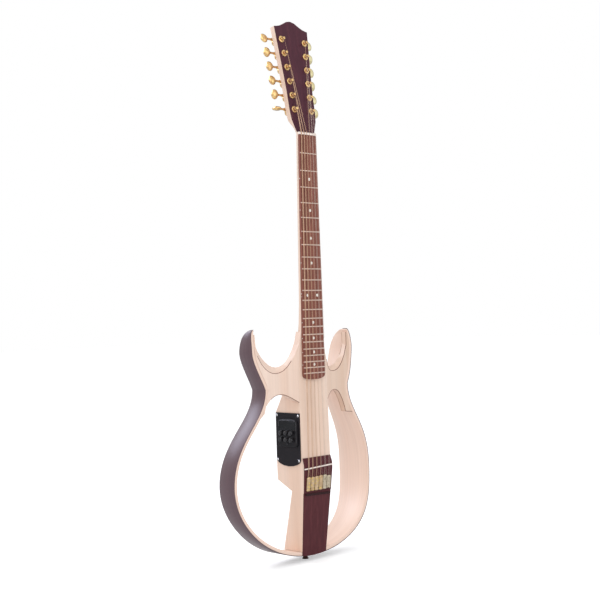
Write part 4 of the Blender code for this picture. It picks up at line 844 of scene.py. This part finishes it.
def opening_edges(node, side):
    """Chains of points where a wing's front meets the walls of its openings, and its surface."""
    bm = bmesh.new()
    bm.from_mesh(NODES[node].data)
    bmesh.ops.remove_doubles(bm, verts=bm.verts, dist=WELD)
    surface = BVHTree.FromBMesh(bm)
    rim = outline(side)
    inner = [Vector((side * (x + RIM_THICKNESS * nx), s + RIM_THICKNESS * ns))
             for (x, s), (nx, ns) in zip(rim, normals(rim))]
    rim_margin = BASS_RIM_MARGIN if side < 0 else TREBLE_RIM_MARGIN

    def is_free(vertex):
        """Whether a corner is away from the rim and, in the bass cutaway, from the beam."""
        place = Vector((vertex.co.x, NUT_Z - vertex.co.z))
        in_bass_cutaway = side < 0 and place.y < WAIST_STATION
        if in_bass_cutaway and abs(place.x) < BEAM_WIDTH / 2 + CUTAWAY_BEAM_MARGIN:
            return False
        return min((place - p).length for p in inner) > rim_margin

    def is_beside_beam(edge):
        return all(abs(v.co.x) < BEAM_WIDTH / 2 + BEAM_MARGIN for v in edge.verts)

    ways = {}
    for edge in bm.edges:
        if len(edge.link_faces) != 2 or is_beside_beam(edge) or not all(is_free(v) for v in edge.verts):
            continue
        low, high = sorted(f.normal.y for f in edge.link_faces)
        if low < FRONT_NORMAL and WALL_NORMALS[0] < high < WALL_NORMALS[1]:
            for v in edge.verts:
                ways.setdefault(v, []).append(edge.other_vert(v))
    chains = follow(ways)
    bm.free()
    return chains, surface


def make_edge_lines():
    """Dark lines sunk a little into the front edges of the openings, painted shade of their creases, and a
    faint glue line in the treble ones.
    """
    for side, name in ((-1, "bass"), (1, "treble")):
        chains, surface = opening_edges(f"{name}_wing", side)
        edges, glue = bmesh.new(), bmesh.new()
        for chain in chains:
            if len(chain) < SHORTEST_LINE:
                continue
            add_wire(edges, [p + Vector((0, EDGE_LINE_SINK, 0)) for p in chain], EDGE_LINE_RADIUS, sides=6)
            hits = [surface.find_nearest(p + Vector((0, GLUE_LINE_DEPTH, 0))) for p in chain]
            back = [hit[0] for hit in hits if hit[3] < GLUE_LINE_REACH]
            if side > 0 and len(back) > SHORTEST_LINE:
                add_wire(glue, back, GLUE_LINE_RADIUS, sides=6)
        add_object(f"{name}_edge_shade_line", edges, CREASE_SHADE_BROWN, smooth=80)
        if side > 0:
            add_object(f"{name}_glue_line", glue, GLUE_BROWN, smooth=80)
        else:
            glue.free()


# Strings and tuners

def head_matrix():
    return Matrix.Translation(point(0, HEAD_FACE_DEPTH, 0)) @ Matrix.Rotation(-HEAD_TILT, 4, "X")


def tuner_places():
    """The posts' side, place across and place along the head, bass side first."""
    places = []
    for side in (-1, 1):
        for i in range(TUNERS_A_SIDE):
            along = FIRST_TUNER + i * TUNER_PITCH
            places.append((side, side * (table(HEAD_EDGE, along) - POST_INSET), along))
    return places


def tuner_name(number):
    return f"{'bass' if number < TUNERS_A_SIDE else 'treble'}_{number % TUNERS_A_SIDE + 1}"


def bridge_top(station):
    return table(BRIDGE_TOPS, station)


def anchor_x(index):
    return (index - (len(STRING_DIAMETERS) - 1) / 2) * ANCHOR_PITCH


def string_x(index, course_pitch, pair_spacing):
    """A string's place across: pairs lie either side of their course's middle."""
    course = index // 2 - (COURSE_COUNT - 1) / 2
    return course * course_pitch + (-0.5 if index % 2 == 0 else 0.5) * pair_spacing


def add_wire(bm, path, radius, sides=8):
    """A round wire whose sections don't twist along its path."""
    rings = []
    across = None
    for i, centre in enumerate(path):
        along = (path[min(i + 1, len(path) - 1)] - path[max(i - 1, 0)]).normalized()
        if across is None:
            across = along.orthogonal().normalized()
        across = (across - along * across.dot(along)).normalized()
        other = along.cross(across)
        rings.append([centre + radius * (math.cos(a) * across + math.sin(a) * other)
                      for a in (2 * math.pi * k / sides for k in range(sides))])
    add_loft(bm, rings)


def make_strings():
    """The strings from anchor to post, and their turns round the posts."""
    wound, plain = bmesh.new(), bmesh.new()
    places = tuner_places()
    head = head_matrix()
    for index, diameter in enumerate(STRING_DIAMETERS):
        radius = diameter / 2
        is_wound = index < WOUND_STRINGS
        # The bass side's strings go to the posts from the nut up, the treble side's from the top down
        number = index if index < TUNERS_A_SIDE else 3 * TUNERS_A_SIDE - 1 - index
        side, post_x, along = places[number]
        reach = POST_WAIST_RADIUS + radius
        turn = FIRST_POST_TURN if number % TUNERS_A_SIDE == 0 else 0.0
        level = TURN_LEVEL * POST_HEIGHT
        touch = (post_x - side * reach * math.cos(turn), -level, along - reach * math.sin(turn))
        path = string_path(index, radius) + [head @ Vector(touch)]
        add_wire(wound if is_wound else plain, path, radius)
        # The turns go down the post from where the string arrives
        turns = WOUND_TURNS if is_wound else PLAIN_TURNS
        fall = min(TURN_PITCH * radius * turns, TURN_LIMIT)
        steps = turns * TURN_STEPS
        begin = math.atan2(-math.sin(turn), -side * math.cos(turn))
        coil = []
        for k in range(steps + 1):
            a = begin + side * 2 * math.pi * turns * k / steps
            drop = fall * k / steps
            coil.append(head @ Vector((post_x + reach * math.cos(a), -level + drop,
                                       along + reach * math.sin(a))))
        bm = bmesh.new()
        add_wire(bm, coil, radius, sides=6)
        name = tuner_name(number)
        add_object(f"string_turns_{name}", bm, BRONZE if is_wound else STEEL,
                   BODY_OF[f"tuner_post_{name}"])
    add_object("wound_strings", wound, BRONZE, instead=("string_set",), smooth=60)
    add_object("plain_strings", plain, STEEL, smooth=60)


def string_path(index, radius):
    """A string's way from its anchor over the saddle to the back of the nut."""
    saddle_x = string_x(index, COURSE_PITCH_AT_SADDLE, PAIR_SPACING_AT_SADDLE)
    nut_x = string_x(index, COURSE_PITCH_AT_NUT, PAIR_SPACING_AT_NUT)
    station = SADDLE_STATION - saddle_x * math.tan(SADDLE_SLANT)
    grip = ANCHOR_START + ANCHOR_GRIP
    start = point(anchor_x(index), bridge_top(grip) - ANCHOR_BASE - STRING_OVER_ANCHOR, grip)
    saddle = point(saddle_x, SADDLE_TOP - radius + SADDLE_NOTCH, station)
    nut = point(nut_x, -NUT_HEIGHT - radius + NUT_NOTCH, NUT_EDGES[0])
    nut_rear = point(nut_x, -NUT_HEIGHT - radius + NUT_REAR_NOTCH, NUT_EDGES[1])
    before, after = SADDLE_BEND
    return [start, mix(start, saddle, before), saddle, mix(saddle, nut, after), nut, nut_rear]


def anchor_stations(length):
    """Stations along an anchor block and its share of the full size: head, ribs, waist and foot."""
    stations = [(z * MM, share) for z, share in ANCHOR_HEAD]
    first, last = ANCHOR_RIB_ENDS[0], length - ANCHOR_RIB_ENDS[1]
    for k in range(ANCHOR_RIBS + 1):
        stations.append((mix(first, last, k / ANCHOR_RIBS), ANCHOR_GROOVE_SHARE if k % 2 else 1.0))
    return stations + [(length - z * MM, share) for z, share in ANCHOR_FOOT]


def make_anchors():
    """One rounded, ribbed block a course, with a round head and a waist above its foot."""
    chance = random.Random(7)
    brass, pale = bmesh.new(), bmesh.new()
    for course in range(COURSE_COUNT):
        is_last = course == COURSE_COUNT - 1
        x = (course - (COURSE_COUNT - 1) / 2) * 2 * ANCHOR_PITCH
        head = ANCHOR_START + (LAST_ANCHOR_DROP if is_last else chance.uniform(0, 1.2) * MM)
        end = ANCHOR_END + chance.uniform(-0.8, 0.8) * MM
        first = point(x, bridge_top(head) - ANCHOR_BASE, head)
        final = point(x, bridge_top(end) - ANCHOR_BASE, end)
        along = final - first
        place = Matrix.Translation(first) @ along.to_track_quat("Z", "X").to_matrix().to_4x4()
        rings = []
        for z, share in anchor_stations(along.length):
            ring = []
            for k in range(ANCHOR_SIDES):
                a = 2 * math.pi * k / ANCHOR_SIDES
                c, d = math.cos(a), math.sin(a)
                width = share * ANCHOR_WIDTH_SHARE * ANCHOR_PITCH
                wide = width * math.copysign(abs(c) ** ANCHOR_SQUARENESS[0], c)
                tall = share * ANCHOR_RADIUS * math.copysign(abs(d) ** ANCHOR_SQUARENESS[1], d)
                ring.append(place @ Vector((tall, wide, z)))
            rings.append(ring)
        add_loft(brass if course < BRASS_ANCHORS else pale, rings)
    add_object("string_anchors", brass, BRASS, smooth=30)
    add_object("plain_string_anchors", pale, PALE_BRASS, smooth=30)


def make_bridge_foot_shadow():
    """A dark strip across the foot of the bridge: painted shadow of its step down to the tail strip."""
    bm = bmesh.new()
    add_loft(bm, [[point(x, depth, station + shift) for depth, shift in FOOT_SHADOW_PROFILE]
                  for x, station in FOOT_SHADOW_ENDS])
    add_object("bridge_foot_shadow", bm, FOOT_SHADOW_DARK)


# Preamp

def on_bass_side(depth, station, rise):
    """Axes on the beam's bass side: Z out of it, X towards the front, Y up."""
    place = Matrix.Translation(point(-BEAM_WIDTH / 2 - rise, depth, station))
    turn = Matrix(((0, 0, -1, 0), (-1, 0, 0, 0), (0, 1, 0, 0), (0, 0, 0, 1)))
    return place @ turn


def make_preamp():
    """The plate, the module, its window and button, and the small pieces on them."""
    dress("preamp_plate", BLACK, 0.35 * MM)
    dress("preamp_module", MODULE_BLACK, 0.3 * MM)
    dress("display_window", GLASS, 0.2 * MM)
    dress("tuner_button", GREY, 0.2 * MM)
    make_screws()
    make_lip()
    places = [on_bass_side(KNOB_DEPTH + column * KNOB_PITCH, row, MODULE_FACE)
              for row in KNOB_ROWS for column in (1, 0, -1)]
    for number, (place, turn) in enumerate(zip(places, KNOB_TURNS), 1):
        make_knob(number, place, turn)


def make_screws():
    """Round screw heads with crossed slots."""
    heads, slots = bmesh.new(), bmesh.new()
    for depth in SCREW_DEPTHS:
        for station in SCREW_STATIONS:
            place = on_bass_side(depth, station, PLATE_FACE)
            add_turned(heads, SCREW_PROFILE, place, sides=24)
            for turn in (0, 90):
                cross = place @ Matrix.Rotation(math.radians(turn + SCREW_TURN), 4, "Z")
                add_prism(slots, SCREW_SLOT, SCREW_SLOT_RISES, cross)
    add_object("plate_screw_heads", heads, CHROME)
    add_object("plate_screw_slots", slots, BLACK)


def make_lip():
    """A lip along the module's front and top edges and a little way down its back one, in bright grey:
    painted reflection on the glossy black.
    """
    front, back = MODULE_DEPTHS[0] + LIP_INSET, MODULE_DEPTHS[1] - LIP_INSET
    top, bottom = MODULE_STATIONS[0] + LIP_INSET, MODULE_STATIONS[1] - LIP_INSET
    path = [(front, bottom - LIP_CORNER)]
    for centre, begin in ((front + LIP_CORNER, 180), (back - LIP_CORNER, 90)):
        for k in range(LIP_STEPS + 1):
            a = math.radians(begin - 90 * k / LIP_STEPS)
            path.append((centre + LIP_CORNER * math.cos(a), top + LIP_CORNER - LIP_CORNER * math.sin(a)))
    path.append((back, top + 2 * LIP_CORNER))
    bm = bmesh.new()
    add_wire(bm, [point(-BEAM_WIDTH / 2 - MODULE_FACE, d, st) for d, st in path], LIP_RADIUS, sides=6)
    add_object("module_lip", bm, HIGHLIGHT_GREY, smooth=80)


def make_knob(number, place, turn):
    """A fluted cap with a fine bright ring, a painted highlight of its chamfer, and a pointer line on its
    face.
    """
    cap, ring, line = bmesh.new(), bmesh.new(), bmesh.new()
    rings = []
    for radius, z, share in KNOB_PROFILE:
        section = []
        for k in range(KNOB_SIDES):
            a = 2 * math.pi * k / KNOB_SIDES
            flute = KNOB_FLUTE_DEPTH * share * (1 + math.cos(KNOB_FLUTES * a)) / 2
            r = radius * MM * (1 - flute)
            section.append(place @ Vector((r * math.cos(a), r * math.sin(a), z * MM)))
        rings.append(section)
    add_loft(cap, rings)
    add_turned(ring, KNOB_RING, place, closed=True)
    add_prism(line, KNOB_LINE, KNOB_LINE_RISES, place @ Matrix.Rotation(math.radians(turn), 4, "Z"))
    body = f"control_{number}"
    add_object(f"knob_{number}_cap", cap, KNOB_BLACK, body,
               instead=(f"knob_{number}",))
    add_object(f"knob_{number}_ring", ring, HIGHLIGHT_GREY, body, smooth=80)
    add_object(f"knob_{number}_line", line, MARK, body)


def make_tuner_pieces():
    """Rounder keys, softened posts and housings, and turned collars round the posts."""
    head = head_matrix()
    collars = bmesh.new()
    for number, (side, x, along) in enumerate(tuner_places()):
        name = tuner_name(number)
        # The treble keys' paler gold is a painted reflection
        dress(f"tuner_key_{name}", GOLD if side < 0 else TREBLE_KEY_REFLECTION_GOLD, bevel=0, subdivide=2, smooth=80)
        dress(f"tuner_post_{name}", GOLD, bevel=0.25 * MM)
        dress(f"tuner_housing_{name}", GOLD, bevel=0.6 * MM, segments=3)
        place = head @ Matrix.Translation((x, 0, along)) @ Matrix.Rotation(math.pi / 2, 4, "X")
        add_turned(collars, COLLAR_PROFILE, place, closed=True)
    add_object("bushing_collars", collars, GOLD)


def make_fixed_pieces():
    """The fixed solids that need only softened edges and a material."""
    dress("neck_beam", BEAM_WOOD, 0.8 * MM, segments=3, smooth=30)
    dress("head_veneer", FACE_WOOD, 0.3 * MM)
    dress("bass_wing", MAPLE, 0.4 * MM)
    # The treble wing's darker maple is painted shade
    dress("treble_wing", TREBLE_SHADE_MAPLE, 0.4 * MM)
    dress("tail_strip", BRIDGE_WOOD, 0.35 * MM)
    dress("bridge", BRIDGE_WOOD, 0.35 * MM)
    dress("saddle", BONE, 0.3 * MM)
    dress("nut", BONE, 0.4 * MM)
    dress("strap_button", STRAP_BROWN, 0.4 * MM)
    dress("output_jack", CHROME, 0.3 * MM)


# Light

def make_stage():
    make_floor()
    make_world()


def make_floor():
    """A large matte floor that the camera sees a little brighter than it is."""
    bm = bmesh.new()
    corners = [bm.verts.new((x * FLOOR_HALF_SIZE, y * FLOOR_HALF_SIZE, FLOOR_LEVEL))
               for x, y in ((-1, -1), (1, -1), (1, 1), (-1, 1))]
    bm.faces.new(corners)
    mesh = bpy.data.meshes.new("floor")
    bm.to_mesh(mesh)
    bm.free()
    floor = bpy.data.objects.new("floor", mesh)
    bpy.context.scene.collection.objects.link(floor)
    g = Graph("floor_white")
    g.set("Base Color", (FLOOR_GREY, FLOOR_GREY, FLOOR_GREY, 1))
    g.set("Roughness", 0.9)
    path = g.node("ShaderNodeLightPath")
    lift = g.node("ShaderNodeEmission")
    lift.inputs["Strength"].default_value = FLOOR_LIFT
    nothing = g.node("ShaderNodeEmission")
    nothing.inputs["Strength"].default_value = 0.0
    choose = g.node("ShaderNodeMixShader")
    g.link(path.outputs["Is Camera Ray"], choose.inputs[0])
    g.link(nothing.outputs[0], choose.inputs[1])
    g.link(lift.outputs[0], choose.inputs[2])
    both = g.node("ShaderNodeAddShader")
    g.link(g.shader.outputs[0], both.inputs[0])
    g.link(choose.outputs[0], both.inputs[1])
    output = g.tree.nodes["Material Output"]
    g.link(both.outputs[0], output.inputs["Surface"])
    mesh.materials.append(g.material)


def make_world():
    """Soft daylight from all round, seen as pure white by the camera and in reflections."""
    world = bpy.data.worlds.new("studio")
    bpy.context.scene.world = world
    world.use_nodes = True
    tree = world.node_tree
    background = tree.nodes["Background"]
    background.inputs["Color"].default_value = WORLD_COLOUR
    background.inputs["Strength"].default_value = WORLD_STRENGTH
    white = tree.nodes.new("ShaderNodeBackground")
    white.inputs["Color"].default_value = WHITE
    white.inputs["Strength"].default_value = 1.0
    path = tree.nodes.new("ShaderNodeLightPath")
    seen = path.outputs["Is Camera Ray"]
    for name in ("Is Glossy Ray", "Is Transmission Ray"):
        add = tree.nodes.new("ShaderNodeMath")
        add.operation = "MAXIMUM"
        tree.links.new(seen, add.inputs[0])
        tree.links.new(path.outputs[name], add.inputs[1])
        seen = add.outputs[0]
    both = tree.nodes.new("ShaderNodeMixShader")
    tree.links.new(seen, both.inputs[0])
    tree.links.new(background.outputs[0], both.inputs[1])
    tree.links.new(white.outputs[0], both.inputs[2])
    tree.links.new(both.outputs[0], tree.nodes["World Output"].inputs["Surface"])


def add_light(name, place, target, size, power, colour=(1, 1, 1), gloss_only=False):
    """A rectangular lamp; with gloss_only it shows in reflections alone."""
    data = bpy.data.lights.new(name, "AREA")
    data.shape = "RECTANGLE"
    data.size, data.size_y = size
    data.energy = power
    data.color = colour
    light = bpy.data.objects.new(name, data)
    turn = (Vector(target) - Vector(place)).to_track_quat("-Z", "Y")
    light.matrix_world = Matrix.Translation(place) @ turn.to_matrix().to_4x4()
    light.visible_diffuse = not gloss_only
    bpy.context.scene.collection.objects.link(light)


make_camera()
make_stage()
add_light("key", (-2.2, -1.6, 1.9), (0, 0, 0.5), (2.2, 2.4), 21, (1.0, 0.985, 0.97))
add_light("fill", (0.9, -2.6, 1.2), (0, 0, 0.5), (1.8, 2.0), 7)
add_light("back", (-0.5, 2.0, 2.9), (0, 0, 0.4), (1.6, 1.6), 30, (0.9, 0.9, 1.0))
add_light("sheen", (-1.25, 2.0, 2.2), (0, 0, 0.4), (1.7, 1.7), 40, (0.78, 0.82, 1.0), gloss_only=True)
bpy.context.scene.view_settings.view_transform = "Standard"
make_fixed_pieces()
make_fingerboard()
make_rims()
make_edge_lines()
make_strings()
make_anchors()
make_bridge_foot_shadow()
make_preamp()
make_tuner_pieces()
